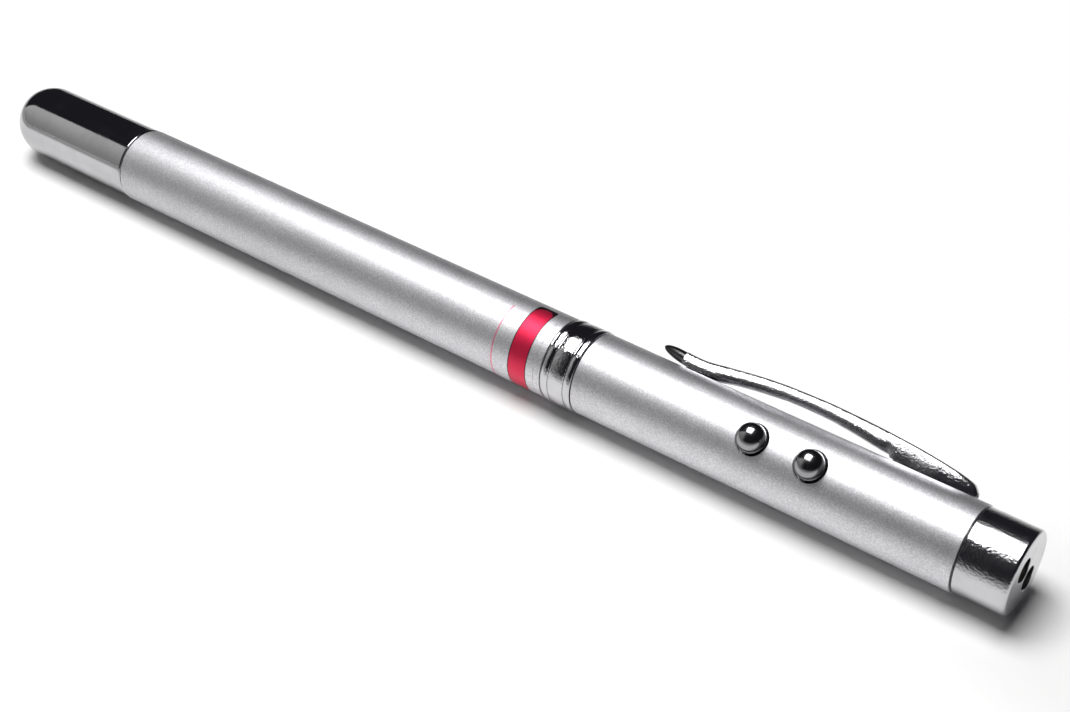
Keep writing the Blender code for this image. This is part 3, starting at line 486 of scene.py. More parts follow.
def make_board_green():
    """Solder mask over copper tracks that run along the board."""
    material, tree, shader, point = new_material("board_solder_mask", 0.0, 0.32)
    tracks = add_node(tree, "TexWave", wave_type="BANDS", bands_direction="Y", in_Vector=point,
                      in_Scale=90.0, in_Distortion=2.0, in_Detail=1.0, in_Detail_Scale=3.0).outputs[1]
    track = spread(tree, tracks, 0.55, 0.7)
    feed(shader, Base_Color=mix_colour(tree, track, (0.015, 0.13, 0.05), (0.04, 0.28, 0.11)))
    add_bump(shader, track, TRACK_RELIEF)
    return material


def make_clear(name, colour, roughness):
    """Clear moulding with the faintest unevenness."""
    material, tree, shader, point = new_material(name, 0.0, roughness)
    tone = add_noise(tree, point, 900.0)
    feed(shader, Transmission_Weight=1.0, IOR=1.5,
         Base_Color=mix_colour(tree, tone, colour, tuple(0.96 * part for part in colour)))
    add_bump(shader, tone, CLEAR_RELIEF)
    return material


def make_ink():
    """Dark blue paste with slow streaks."""
    material, tree, shader, point = new_material("ink_paste", 0.0, 0.25)
    streak = add_noise(tree, point, 700.0, in_Distortion=1.0)
    feed(shader, Base_Color=mix_colour(tree, streak, (0.008, 0.015, 0.16), (0.02, 0.045, 0.33)))
    return material


# Printed film: a red band with dark borders and a round end, and thin rules, with no words
BAND_MIDDLE = -0.06090    # from the nose seam
BAND_WIDTH = 0.0029
BAND_BORDER = 0.00013
BAND_END = radians(105)   # angle round the pen at which the band's round end lies
BAND_CORNER = radians(6)  # how much further its black ground goes, with a square end
BAND_TAIL = radians(-48)  # and the band's other end, under the pen
RULE_MIDDLE = -0.06500
RULE_WIDTH = 0.00022
RULE_TOP = radians(86)
RULE_TAIL = radians(-60)


def outside_strip(tree, place, middle, half_width, top, tail, power):
    """Distance outside a strip that runs round the pen. Its ends are round at power 2, squarer above."""
    reach = half_width / BARREL_RADIUS
    off = calculate(tree, "ABSOLUTE", minus(tree, place["Along"], middle))
    past_top = larger(tree, minus(tree, place["Angle"], top - reach), 0.0)
    past_tail = larger(tree, minus(tree, tail + reach, place["Angle"]), 0.0)
    past = times(tree, calculate(tree, "ADD", past_top, past_tail), BARREL_RADIUS)
    shares = [calculate(tree, "DIVIDE", part, half_width) for part in (off, past)]
    total = calculate(tree, "ADD", *(calculate(tree, "POWER", share, power) for share in shares))
    return times(tree, minus(tree, calculate(tree, "POWER", total, 1 / power), 1.0), half_width)


def make_printed_film():
    """Clear film with a silver ground, on which the band and the rule are printed."""
    material, tree, shader, point = new_material("printed_film_face", 1.0)
    place = use_group(tree, PLACE, in_Vector=point)
    coat = use_group(tree, SATIN_COAT, in_Vector=point)
    half_band = BAND_WIDTH / 2
    strips = ((BAND_MIDDLE, half_band, BAND_END + BAND_CORNER, BAND_TAIL, 6.0),
              (BAND_MIDDLE, half_band - BAND_BORDER, BAND_END, BAND_TAIL, 2.0),
              (RULE_MIDDLE, RULE_WIDTH / 2, RULE_TOP, RULE_TAIL, 2.0))
    blur = BAND_BORDER / 4
    border, inside, on_rule = (spread(tree, outside_strip(tree, place, *strip), -blur, blur, 1.0, 0.0)
                               for strip in strips)
    red = mix_colour(tree, add_noise(tree, point, 500.0), (0.68, 0.010, 0.060), (0.76, 0.015, 0.080))
    printed = mix_colour(tree, on_rule, coat["Color"], (0.80, 0.28, 0.38))
    printed = mix_colour(tree, border, printed, (0.02, 0.008, 0.014))
    feed(shader, Base_Color=mix_colour(tree, inside, printed, red), Roughness=coat["Roughness"],
         Metallic=spread(tree, larger(tree, border, on_rule), 0.0, 1.0, 1.0, 0.92), Specular_IOR_Level=0.3,
         Coat_Weight=times(tree, inside, 0.45), Coat_Roughness=0.4)
    add_bump(shader, calculate(tree, "ADD", coat["Height"], border), SATIN_RELIEF)
    return material


SATIN = make_satin_silver()
CHROME = make_chrome("bright_chrome", 0.0007, 0.000006)
NOSE_CHROME = make_chrome("nose_chrome", 0.0003, 0.000042, (0.12, 0.18))
BUTTON_CHROME = make_chrome("button_chrome", 0.0005, 0.000012, (0.16, 0.22), 0.56)
CLIP_CHROME = make_chrome("clip_chrome", 0.0003, 0.00004, (0.14, 0.22))
# painted shade: the bead's chrome is toned down to a tenth, standing for the dark room that the clip's tip
# reflects
BEAD_PAINTED_DARK_CHROME = make_chrome("bead_painted_dark_chrome", 0.0005, 0.00002, (0.28, 0.34), 0.1)
RING_CHROME = make_ring_chrome()
SECTION_CHROME = make_turned_metal("section_chrome", (0.82, 0.82, 0.85), (0.74, 0.735, 0.76), 0.08)
STEEL = make_turned_metal("bright_steel", (0.64, 0.64, 0.66), (0.48, 0.475, 0.48), 0.2)
CELL_STEEL = make_turned_metal("cell_nickel", (0.74, 0.73, 0.71), (0.58, 0.57, 0.55), 0.16)
BRASS = make_turned_metal("turned_brass", (0.86, 0.66, 0.32), (0.66, 0.47, 0.2), 0.22)
BLACK = make_plastic("black_moulding", (0.012, 0.012, 0.013), (0.035, 0.034, 0.034))
WHITE = make_plastic("white_moulding", (0.80, 0.79, 0.76), (0.72, 0.70, 0.66))
GREEN = make_board_green()
GLASS = make_clear("lens_glass", (0.95, 0.96, 0.97), 0.02)
EPOXY = make_clear("lamp_epoxy", (0.93, 0.94, 0.92), 0.06)
INK = make_ink()
FILM = make_printed_film()


# Modelling helpers


def clear_selection():
    """Leaves edit mode and deselects everything."""
    if bpy.context.object and bpy.context.object.mode != "OBJECT":
        bpy.ops.object.mode_set(mode="OBJECT")
    bpy.ops.object.select_all(action="DESELECT")


def activate(piece):
    clear_selection()
    piece.select_set(True)
    bpy.context.view_layer.objects.active = piece


def name_new(name):
    """Names the primitive just added, with its place and turn in its mesh."""
    piece = bpy.context.object
    piece.name = name
    piece.data.name = name
    bpy.ops.object.transform_apply(location=True, rotation=True, scale=True)
    return piece


def soften(profile, size, steps=3):
    """The profile with its inner corners rounded, and points beside them that keep long faces straight."""
    result = [profile[0]]
    for before, corner, after in zip(profile, profile[1:], profile[2:]):
        here = Vector(corner)
        arms = [Vector(before) - here, Vector(after) - here]
        reach = min(size, *(arm.length / ARM_REACHES for arm in arms))
        if arms[0].angle(arms[1]) > FLAT_CORNER or reach < MERGE:
            result.append(corner)
            continue
        one, two = (here + arm.normalized() * reach for arm in arms)
        rounded = []
        for i in range(steps + 1):
            share = i / steps
            rounded.append(tuple(one * (1 - share)**2 + here * 2 * share * (1 - share) + two * share**2))
        guards = [[tuple(here + arm.normalized() * GUARD_REACHES * reach)]
                  if arm.length > ARM_REACHES * GUARD_REACHES * reach else [] for arm in arms]
        result += guards[0] + rounded + guards[1]
    return result + [profile[-1]]


def turned_piece(name, profile, segments=BARREL_SEGMENTS):
    """A ring extruded along the profile's points (x, radius). Off the axis, it ends where it began."""
    clear_selection()
    points = [(x, max(radius, POLE)) for x, radius in profile]
    if points[0][1] > POLE:
        points.append(points[0])
    x, radius = points[0]
    bpy.ops.mesh.primitive_circle_add(vertices=segments, radius=radius, location=(x, 0, 0),
                                      rotation=(0, radians(90), 0))
    piece = name_new(name)
    bpy.ops.object.mode_set(mode="EDIT")
    bpy.ops.mesh.select_all(action="SELECT")
    for next_x, next_radius in points[1:]:
        bpy.ops.mesh.extrude_edges_move(TRANSFORM_OT_translate={"value": (next_x - x, 0, 0)})
        grow = next_radius / radius
        bpy.ops.transform.resize(value=(1, grow, grow), center_override=(next_x, 0, 0))
        x, radius = next_x, next_radius
    finish_mesh()
    return piece


def finish_mesh(near=MERGE):
    """In edit mode, merges doubles and turns the faces outwards, and then shades the piece smooth."""
    bpy.ops.mesh.select_all(action="SELECT")
    bpy.ops.mesh.remove_doubles(threshold=near)
    bpy.ops.mesh.normals_make_consistent(inside=False)
    bpy.ops.object.mode_set(mode="OBJECT")
    bpy.ops.object.shade_smooth_by_angle(angle=SMOOTH_ANGLE)


def close_up(piece, near=MERGE):
    """Merges what a cut left doubled, and shades the piece smooth."""
    activate(piece)
    bpy.ops.object.mode_set(mode="EDIT")
    finish_mesh(near)


def apply_modifier(piece, kind, **settings):
    modifier = piece.modifiers.new(kind.lower(), kind)
    for name, value in settings.items():
        setattr(modifier, name, value)
    activate(piece)
    bpy.ops.object.modifier_apply(modifier=modifier.name)


def cut(piece, cutter):
    """Takes the cutter out of the piece."""
    apply_modifier(piece, "BOOLEAN", operation="DIFFERENCE", solver="EXACT", object=cutter)
    bpy.data.objects.remove(cutter)


def make_box(name, middle, sides):
    clear_selection()
    bpy.ops.mesh.primitive_cube_add(size=1, location=middle, scale=sides)
    return name_new(name)


def stand_up(piece, angle, x):
    """Turns a piece modelled about X so that it stands on the pen at x, at this angle round it."""
    piece.data.transform(Matrix.Rotation(radians(-90), 4, "Y"))
    piece.data.transform(Matrix.Translation((x, 0, 0)))
    turn_round(piece, angle)


def turn_round(piece, angle):
    """Turns a piece that points up round the pen's axis to the angle, which runs from -Y over the top."""
    piece.data.transform(Matrix.Rotation(radians(90) - angle, 4, "X"))


BODY_OF = {node: body for body, nodes in frame["record"]["behaviour"]["bodies"].items() for node in nodes}


def settle(piece, material, node):
    """Puts the finished piece on the pen, in place of this CAD node, on its body and in its finish."""
    piece.data.transform(Matrix.Translation(PEN_PLACE))
    piece.data.materials.clear()
    piece.data.materials.append(material)
    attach(piece, BODY_OF[node])
    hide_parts(node)


def ellipse_arc(x, radius, reach, rise, start, end, steps):
    """Points (x, radius) round a centre. Its angles are degrees from the nose's direction outwards."""
    points = []
    for i in range(steps + 1):
        angle = radians(start + (end - start) * i / steps)
        points.append((x + reach * cos(angle), radius + rise * sin(angle)))
    return points


def beside_axis(piece, side):
    """Moves a piece modelled about X to the line of a nose aperture: 1 is the laser's, -1 the lamp's."""
    piece.data.transform(Matrix.Translation((0, 0, side * APERTURE_OFFSET)))
    turn_round(piece, BUTTON_ANGLE)


# Barrels and nose


def make_upper_barrel():
    """Satin tube with holes for the buttons and a slot for the clip's hook."""
    holes = [-BUTTON_SETBACK - i * BUTTON_SPACING for i in range(2)]
    front, back = BARREL_FRONT, BARREL_BACK
    rows = [front - END_ROW, -HOOK_SETBACK + SLOT_ROW, -HOOK_SETBACK - HOOK_LENGTH - SLOT_ROW]
    for x in holes:
        rows += [x + BUTTON_HOLE + HOLE_ROW, x - BUTTON_HOLE - HOLE_ROW]
    rows += [back + END_ROW]
    outline = [(front, BARREL_BORE), (front, BARREL_RADIUS), *((x, BARREL_RADIUS) for x in rows),
               (back, BARREL_RADIUS), (back, BARREL_BORE), *((x, BARREL_BORE) for x in reversed(rows))]
    barrel = turned_piece("upper_barrel_tube", soften(outline, UPPER_EDGE))
    for x in holes:
        clear_selection()
        bpy.ops.mesh.primitive_cylinder_add(vertices=SMALL_SEGMENTS, radius=BUTTON_HOLE, depth=BARREL_RADIUS,
                                            location=(x, 0, BARREL_RADIUS))
        cutter = name_new("cutter")
        turn_round(cutter, BUTTON_ANGLE)
        cut(barrel, cutter)
    cutter = make_box("cutter", (-HOOK_SETBACK - HOOK_LENGTH / 2, 0, BARREL_RADIUS),
                      (HOOK_LENGTH + 2 * SLOT_GAP, HOOK_WIDTH + 2 * SLOT_GAP, BARREL_RADIUS))
    turn_round(cutter, CLIP_ANGLE)
    cut(barrel, cutter)
    close_up(barrel)
    settle(barrel, SATIN, "upper_barrel")


def make_nose_cap():
    """Chromed cap with rounded rims, a spigot in the barrel and two lamp apertures in its face."""
    inner = NOSE_LENGTH - NOSE_FACE_WALL
    rim = NOSE_RADIUS - NOSE_ROUNDING
    rounding = ellipse_arc(NOSE_LENGTH - NOSE_ROUNDING, rim, NOSE_ROUNDING, NOSE_ROUNDING, 90, 0, 8)
    outline = [*((NOSE_LENGTH, rim * share) for share in NOSE_FACE_SHARES), *reversed(rounding),
               (NOSE_ROW, NOSE_RADIUS), (NOSE_EDGE, NOSE_RADIUS), (0, NOSE_RADIUS - NOSE_EDGE),
               (0, PLUG_RADIUS), (-NOSE_SPIGOT, PLUG_RADIUS), (-NOSE_SPIGOT, NOSE_BORE), (inner, NOSE_BORE),
               (inner, 0)]
    cap = turned_piece("nose_cap_shell", outline)
    over, under = NOSE_LENGTH + APERTURE_FLARE, inner - APERTURE_FLARE
    for side in (1, -1):
        outline = [(over, 0), (over, APERTURE_RADIUS + APERTURE_FLARE + APERTURE_LIP),
                   (NOSE_LENGTH - APERTURE_LIP, APERTURE_RADIUS), (under, APERTURE_RADIUS), (under, 0)]
        cutter = turned_piece("cutter", outline, SMALL_SEGMENTS)
        beside_axis(cutter, side)
        cut(cap, cutter)
    close_up(cap)
    settle(cap, NOSE_CHROME, "nose_cap")


def make_lamps():
    """Laser housing with its crowned lens, and the white lamp of clear epoxy."""
    housing_front = NOSE_LENGTH - NOSE_FACE_WALL - SEAM_GAP
    lens_front = housing_front - LENS_SETBACK
    housing_back = housing_front - HOUSING_LENGTH
    row = lens_front - HOUSING_ROW
    seat = HOUSING_BORE - LENS_GAP
    outline = [(housing_front, HOUSING_BORE), (housing_front, HOUSING_RADIUS), (row, HOUSING_RADIUS),
               (housing_back, HOUSING_RADIUS), (housing_back, HOUSING_BORE), (row, HOUSING_BORE)]
    housing = turned_piece("laser_housing_tube", soften(outline, PIPE_EDGE), SMALL_SEGMENTS)
    beside_axis(housing, 1)
    settle(housing, BRASS, "laser_housing")
    lens = turned_piece("laser_lens_glass", [
        *reversed(ellipse_arc(lens_front - LENS_CROWN, 0, LENS_CROWN, seat, 90, 0, 12)),
        (lens_front - LENS_CROWN - LENS_RIM, seat), (lens_front - LENS_THICKNESS, seat),
        (lens_front - LENS_THICKNESS, 0)], SMALL_SEGMENTS)
    beside_axis(lens, 1)
    settle(lens, GLASS, "laser_lens")
    dome = LED_BACK + LED_LENGTH - LED_RADIUS
    flange = LED_BACK + LED_FLANGE
    lamp = turned_piece("led_lamp_bulb", [
        *reversed(ellipse_arc(dome, 0, LED_RADIUS, LED_RADIUS, 90, 0, 16)), (flange + LED_ROW, LED_RADIUS),
        (flange, LED_RADIUS), (flange, LED_FLANGE_RADIUS), (LED_BACK, LED_FLANGE_RADIUS), (LED_BACK, 0)],
        SMALL_SEGMENTS)
    beside_axis(lamp, -1)
    settle(lamp, EPOXY, "led_lamp")


def make_buttons():
    """Bullet-shaped buttons, each with its collar in the barrel's hole."""
    top = BARREL_RADIUS + BUTTON_PROUD
    neck = BARREL_RADIUS + BUTTON_NECK_PROUD
    collar = BARREL_RADIUS + BUTTON_COLLAR_PROUD
    flange = BUTTON_BOTTOM + BUTTON_FLANGE
    reach, rise = COLLAR_EDGE
    head = ellipse_arc(neck, 0, top - neck, BUTTON_HEAD_RADIUS, 90, 0, 20)
    lip = ellipse_arc(neck, BUTTON_UNDERCUT, -BUTTON_LIP, BUTTON_HEAD_RADIUS - BUTTON_UNDERCUT, 90, 0, 4)
    edge = ellipse_arc(collar - reach, BUTTON_COLLAR_RADIUS - rise, reach, rise, 0, 90, 4)
    outline = [*reversed(head), *lip, (collar, BUTTON_UNDERCUT), *edge, (flange, BUTTON_COLLAR_RADIUS),
               (flange, BUTTON_FLANGE_RADIUS), (BUTTON_BOTTOM, BUTTON_FLANGE_RADIUS), (BUTTON_BOTTOM, 0)]
    for i, node in enumerate(("laser_button", "led_button")):
        button = turned_piece(f"{node}_cap", outline, BUTTON_SEGMENTS)
        stand_up(button, BUTTON_ANGLE, -BUTTON_SETBACK - i * BUTTON_SPACING)
        settle(button, BUTTON_CHROME, node)


def make_middle_ring():
    """Chromed ring of two beads, a flat band and a lip, with its threaded spigot and its pressed one."""
    low = BARREL_RADIUS + RING_PROUD - RING_GROOVE_DEPTH
    neck = PLUG_RADIUS - THREAD_DEPTH
    relief = RING_FRONT + THREAD_RELIEF
    outline = [(RING_THREAD_END, 0), (RING_THREAD_END, neck), (RING_THREAD_END - THREAD_DEPTH, PLUG_RADIUS),
               (relief, PLUG_RADIUS), (relief, neck), (RING_FRONT, neck)]
    x = RING_FRONT
    for width, rise in RING_FORMS:
        edge = rise - RING_CROWN
        outline.append((x, low))
        if edge > 0:
            shoulder = min(edge, width / 6)
            side, span = low + edge - shoulder, width - 2 * shoulder
            outline += [(x, side), *ellipse_arc(x - shoulder, side, shoulder, shoulder, 15, 75, 3)]
            for i in range(RING_STEPS + 1):
                share = i / RING_STEPS
                crown = RING_CROWN * 4 * share * (1 - share)
                outline.append((x - shoulder - span * share, low + edge + crown))
            outline += [*ellipse_arc(x - width + shoulder, side, shoulder, shoulder, 105, 165, 3),
                        (x - width, side)]
        outline.append((x - width, low))
        x -= width + RING_GROOVE
    outline += [(RING_BACK, PLUG_RADIUS), (RING_TAIL_END, PLUG_RADIUS), (RING_TAIL_END, RING_BORE),
                (RING_THREAD_END - RING_END_WALL, RING_BORE), (RING_THREAD_END - RING_END_WALL, 0)]
    settle(turned_piece("middle_ring_connector", outline), RING_CHROME, "middle_ring")


def make_lower_barrel():
    """Satin tube with the shallow recess for the printed film, and the film in it."""
    recess = BARREL_RADIUS - FILM_RECESS
    front, back = FILM_FRONT + SEAM_GAP, FILM_BACK - SEAM_GAP
    outline = [(LOWER_FRONT, BARREL_BORE), (LOWER_FRONT, BARREL_RADIUS), (front, BARREL_RADIUS),
               (front, recess), (back, recess), (back, BARREL_RADIUS), (LOWER_BACK, BARREL_RADIUS),
               (LOWER_BACK, BARREL_BORE)]
    settle(turned_piece("lower_barrel_tube", soften(outline, LOWER_EDGE)), SATIN, "lower_barrel")
    inner = BARREL_RADIUS - FILM_THICKNESS
    front, back = front - FILM_JOIN, back + FILM_JOIN
    outline = [(front, inner), (front, BARREL_RADIUS), (back, BARREL_RADIUS), (back, inner)]
    settle(turned_piece("label_film_wrap", outline), FILM, "label_film")


def make_tail_cap():
    """Domed cap with a rounded rim."""
    dome = CAP_END + CAP_RADIUS
    outline = [*ellipse_arc(dome, 0, BARREL_BORE, BARREL_BORE, 180, 90, 24), (CAP_RIM, BARREL_BORE),
               *ellipse_arc(CAP_RIM - CAP_EDGE, CAP_RADIUS - CAP_EDGE, CAP_EDGE, CAP_EDGE, 0, 90, 5),
               (CAP_RIM - 2 * CAP_EDGE, CAP_RADIUS),
               *ellipse_arc(dome, 0, CAP_RADIUS, CAP_RADIUS, 90, 180, 36)]
    settle(turned_piece("tail_cap_shell", outline), CHROME, "tail_cap")


# Clip


def smooth_share(share, column):
    """Value of the clip's table at this share of its length, on a smooth curve that never overshoots."""
    places = [row[0] for row in CLIP_SHARES]
    values = [row[column] for row in CLIP_SHARES]
    slopes = [(b - a) / (q - p) for p, q, a, b in zip(places, places[1:], values, values[1:])]
    k = max(i for i in range(len(slopes)) if places[i] <= share + 1e-9)

    def bend(i):
        before, after = slopes[max(i - 1, 0)], slopes[min(i, len(slopes) - 1)]
        return 0.0 if before * after <= 0 else 2 * before * after / (before + after)

    span = places[k + 1] - places[k]
    t = (share - places[k]) / span
    return ((2 * t**3 - 3 * t**2 + 1) * values[k] + (t**3 - 2 * t**2 + t) * bend(k) * span
            + (3 * t**2 - 2 * t**3) * values[k + 1] + (t**3 - t**2) * bend(k + 1) * span)


def clip_half(share):
    """Half of the clip's outer outline across the pen at this share of its length: (side, height)."""
    half = CLIP_WIDTH * smooth_share(share, 3) / 2
    low = sqrt(CLIP_SEAT**2 - half**2) + smooth_share(share, 2) * CLIP_ARCH
    top = CLIP_SEAT + smooth_share(share, 1) * CLIP_ARCH
    on_arch = min(max((share - CLIP_ROOT[0]) / (CLIP_ROOT[1] - CLIP_ROOT[0]), 0.0), 1.0)
    on_arch = on_arch**2 * (3 - 2 * on_arch)
    widest, leaning = (at_root + (at_arch - at_root) * on_arch for at_root, at_arch in CLIP_SIDES)
    shoulder = min(CLIP_SHOULDER, half / 2, (top - low) / 3)
    lean = sin(leaning)
    wall = top - CLIP_CROWN - shoulder * (1 - lean) - low
    points = []
    for i in range(CLIP_WALL_STEPS + 1):
        rise = i / CLIP_WALL_STEPS
        bulge = tan(leaning) / (2 * (1 - widest)) * (rise - widest)**2 * wall
        points.append((half - bulge, low + wall * rise))
    centre_side = points[-1][0] - shoulder * cos(leaning)
    centre_height = points[-1][1] - shoulder * lean
    for i in range(1, CLIP_CORNER_STEPS + 1):
        angle = leaning + (radians(90) - leaning) * i / CLIP_CORNER_STEPS
        points.append((centre_side + shoulder * cos(angle), centre_height + shoulder * sin(angle)))
    points += [(centre_side / 2, top - CLIP_CROWN / 4), (0, top)]
    return points


def make_clip():
    """Sprung clip: a strip is shaped into a channel, row by row, and gets its thickness and its hook."""
    places = []
    for i in range(CLIP_ROWS + 1):
        crowded = 0.5 - 0.5 * cos(pi * i / CLIP_ROWS)
        places.append(CHANNEL_SHARE * (CLIP_ENDS_SHARE * crowded + (1 - CLIP_ENDS_SHARE) * i / CLIP_ROWS))
    halves = [clip_half(place) for place in places]
    columns = 2 * len(halves[0]) - 1
    clear_selection()
    bpy.ops.mesh.primitive_grid_add(x_subdivisions=CLIP_ROWS, y_subdivisions=columns - 1, size=1)
    clip = name_new("pocket_clip_channel")
    bpy.ops.object.mode_set(mode="EDIT")
    shape = bmesh.from_edit_mesh(clip.data)
    middle = columns // 2
    for vertex in shape.verts:
        row = round((0.5 - vertex.co.x) * CLIP_ROWS)
        column = round((vertex.co.y + 0.5) * (columns - 1))
        side, height = halves[row][min(column, columns - 1 - column)]
        vertex.co = (-CLIP_SETBACK - places[row] * CLIP_LENGTH, side if column > middle else -side, height)
    bmesh.update_edit_mesh(clip.data)
    bpy.ops.mesh.select_all(action="SELECT")
    bpy.ops.mesh.normals_make_consistent(inside=False)
    bpy.ops.object.mode_set(mode="OBJECT")
    top = max(clip.data.polygons, key=lambda face: face.center.z)
    if top.normal.z < 0:
        clip.data.flip_normals()
    apply_modifier(clip, "SOLIDIFY", thickness=CLIP_SHEET, offset=-1.0, use_even_offset=True)
    x = -HOOK_SETBACK - HOOK_LENGTH / 2
    crown = CLIP_SEAT + CLIP_ARCH * smooth_share((-x - CLIP_SETBACK) / CLIP_LENGTH, 1)
    top, end = crown - CLIP_SHEET / 2, BARREL_RADIUS - HOOK_DEPTH
    hook = make_box("hook", (x, 0, (top + end) / 2), (HOOK_LENGTH, HOOK_WIDTH, top - end))
    apply_modifier(clip, "BOOLEAN", operation="UNION", solver="EXACT", object=hook)
    bpy.data.objects.remove(hook)
    close_up(clip, CLIP_MERGE)
    apply_modifier(clip, "BEVEL", width=CLIP_EDGE, segments=2, limit_method="ANGLE",
                   angle_limit=CLIP_EDGE_ANGLE)
    close_up(clip, CLIP_MERGE)
    turn_round(clip, CLIP_ANGLE)
    settle(clip, CLIP_CHROME, "pocket_clip")


def make_clip_bead():
    """Bead at the clip's tip, in a chrome whose colour is cut to a tenth: painted shade for the dark that
    the rolled tip reflects.
    """
    clear_selection()
    bpy.ops.mesh.primitive_uv_sphere_add(segments=SMALL_SEGMENTS, ring_count=SMALL_SEGMENTS // 2, radius=0.5)
    bead = name_new("pocket_clip_tip_bead")
    bpy.ops.object.mode_set(mode="EDIT")
    bpy.ops.mesh.select_all(action="SELECT")
    bpy.ops.transform.resize(value=(BEAD_LENGTH, BEAD_WIDTH, BEAD_HEIGHT))
    bpy.ops.transform.rotate(value=-BEAD_TURN, orient_axis="Y")
    x = BEAD_LENGTH / 2 - BEAD_OVERHANG - CLIP_SETBACK - CLIP_LENGTH
    bpy.ops.transform.translate(value=(x, 0, CLIP_SEAT + BEAD_RISE))
    finish_mesh()
    turn_round(bead, CLIP_ANGLE)
    settle(bead, BEAD_PAINTED_DARK_CHROME, "pocket_clip")


# Telescopic pointer and ballpoint


def make_pointer():
    """Bush, base tube and sliding sections, each with a rolled mouth."""
    for node, material, outer, inner in pointer_tubes():
        front, back = along(node)
        roll = min(TUBE_WALL, outer - inner) * TUBE_ROLL_SHARE
        row = back + TUBE_ROW
        outline = [(front, inner), (front, outer), (row, outer), (back, outer), (back, inner), (row, inner)]
        tube = turned_piece(f"{node}_tube", soften(outline, roll, 4), TUBE_SEGMENTS)
        settle(tube, material, node)


def pointer_tubes():
    """Node, material, outer radius and inner radius of each tube of the pointer."""
    tubes = [("tail_bush", CHROME, PLUG_RADIUS, BASE_TUBE_RADIUS + FIT_GAP),
             ("pointer_base_tube", STEEL, BASE_TUBE_RADIUS, BASE_TUBE_RADIUS - TUBE_WALL)]
    outer = BASE_TUBE_RADIUS
    for i in range(SECTION_COUNT):
        outer -= TUBE_WALL + RUN_GAP
        tubes.append((f"pointer_section_{i + 1}", SECTION_CHROME, outer, outer - TUBE_WALL))
    return tubes


def make_writing_head():
    """Turned head with a grooved collar, a neck and a cone that ends in the ballpoint's mouth."""
    front, back = along("writing_head")
    section = pointer_tubes()[-1][2] + FIT_GAP
    collar_back = front - HEAD_COLLAR
    neck_back = collar_back - HEAD_NECK
    bore = REFILL_RADIUS + FIT_GAP
    outline = [(front, HEAD_COLLAR_RADIUS)]
    for i in range(HEAD_GROOVE_COUNT):
        x = front - HEAD_COLLAR * (i + 1) / (HEAD_GROOVE_COUNT + 1)
        outline += [(x + HEAD_GROOVE, HEAD_COLLAR_RADIUS), (x, HEAD_COLLAR_RADIUS - HEAD_GROOVE),
                    (x - HEAD_GROOVE, HEAD_COLLAR_RADIUS)]
    cone_front, cone_radius = neck_back - HEAD_STEP_END, HEAD_NECK_RADIUS - HEAD_STEP
    outline += [(collar_back, HEAD_COLLAR_RADIUS), (collar_back, HEAD_NECK_RADIUS),
                (neck_back, HEAD_NECK_RADIUS), (neck_back - HEAD_STEP_RUN, cone_radius),
                (cone_front, cone_radius)]
    for i in range(1, HEAD_CONE_STEPS + 1):
        share = i / HEAD_CONE_STEPS
        swell = HEAD_SWELL * sin(pi * share)
        outline.append((cone_front + (back - cone_front) * share,
                        cone_radius + (HEAD_TIP_RADIUS - cone_radius) * share + swell))
    mouth, socket = back + HEAD_MOUTH, front - HEAD_SOCKET - SEAM_GAP
    outline += [(back, HEAD_MOUTH_RADIUS), (mouth, HEAD_MOUTH_RADIUS), (mouth, bore), (socket, bore),
                (socket, section), (front, section)]
    head = turned_piece("writing_head_turning", soften(outline, HEAD_EDGE), TUBE_SEGMENTS)
    settle(head, CHROME, "writing_head")


def make_refill():
    """Refill tube, ballpoint and ball."""
    front, back = along("refill_tube")
    inner = REFILL_RADIUS - REFILL_WALL
    outline = [(front, inner), (front, REFILL_RADIUS), (back, REFILL_RADIUS), (back, inner)]
    tube = turned_piece("refill_tube_pipe", soften(outline, PIPE_EDGE), REFILL_SEGMENTS)
    settle(tube, WHITE, "refill_tube")
    front, back = along("refill_point")
    shoulder = front - POINT_BODY
    stem_back = shoulder - POINT_STEM
    outline = [(front, 0), (front, REFILL_RADIUS), (shoulder, REFILL_RADIUS),
               (shoulder - POINT_CHAMFER, POINT_STEM_RADIUS), (shoulder - POINT_STEM / 2, POINT_STEM_RADIUS),
               (stem_back, POINT_STEM_RADIUS), (back, POINT_MOUTH_RADIUS), (back, 0)]
    point = turned_piece("refill_point_turning", soften(outline, POINT_EDGE), REFILL_SEGMENTS)
    settle(point, BRASS, "refill_point")
    front, back = along("refill_ball")
    middle = (front + back) / 2
    clear_selection()
    bpy.ops.mesh.primitive_ico_sphere_add(subdivisions=4, radius=(front - back) / 2, location=(middle, 0, 0))
    ball = name_new("refill_ball_bead")
    close_up(ball)
    settle(ball, STEEL, "refill_ball")


make_upper_barrel()
make_nose_cap()
make_lamps()
make_buttons()
make_middle_ring()
make_lower_barrel()
make_tail_cap()
make_clip()
make_clip_bead()
make_pointer()
make_writing_head()
make_refill()

# CAD nodes whose shape stays get their finish here
KEPT = {
    BLACK: ("lamp_holder", "laser_switch", "led_switch", "laser_resistor", "led_resistor"),
    WHITE: ("laser_switch_plunger", "led_switch_plunger", "battery_sleeve", "pointer_anchor", "cap_liner"),
    STEEL: ("laser_diode", "laser_lead_1", "laser_lead_2", "led_lead_1", "led_lead_2", "battery_spring"),
    CELL_STEEL: ("button_cell_1", "button_cell_2", "button_cell_3"),
    BRASS: ("battery_contact",),
    GREEN: ("circuit_board",),
    INK: ("ink_column",),
}
for material, nodes in KEPT.items():
    for node in nodes:
        frame["nodes"][node].data.materials.clear()
        frame["nodes"][node].data.materials.append(material)


# Floor, light and camera

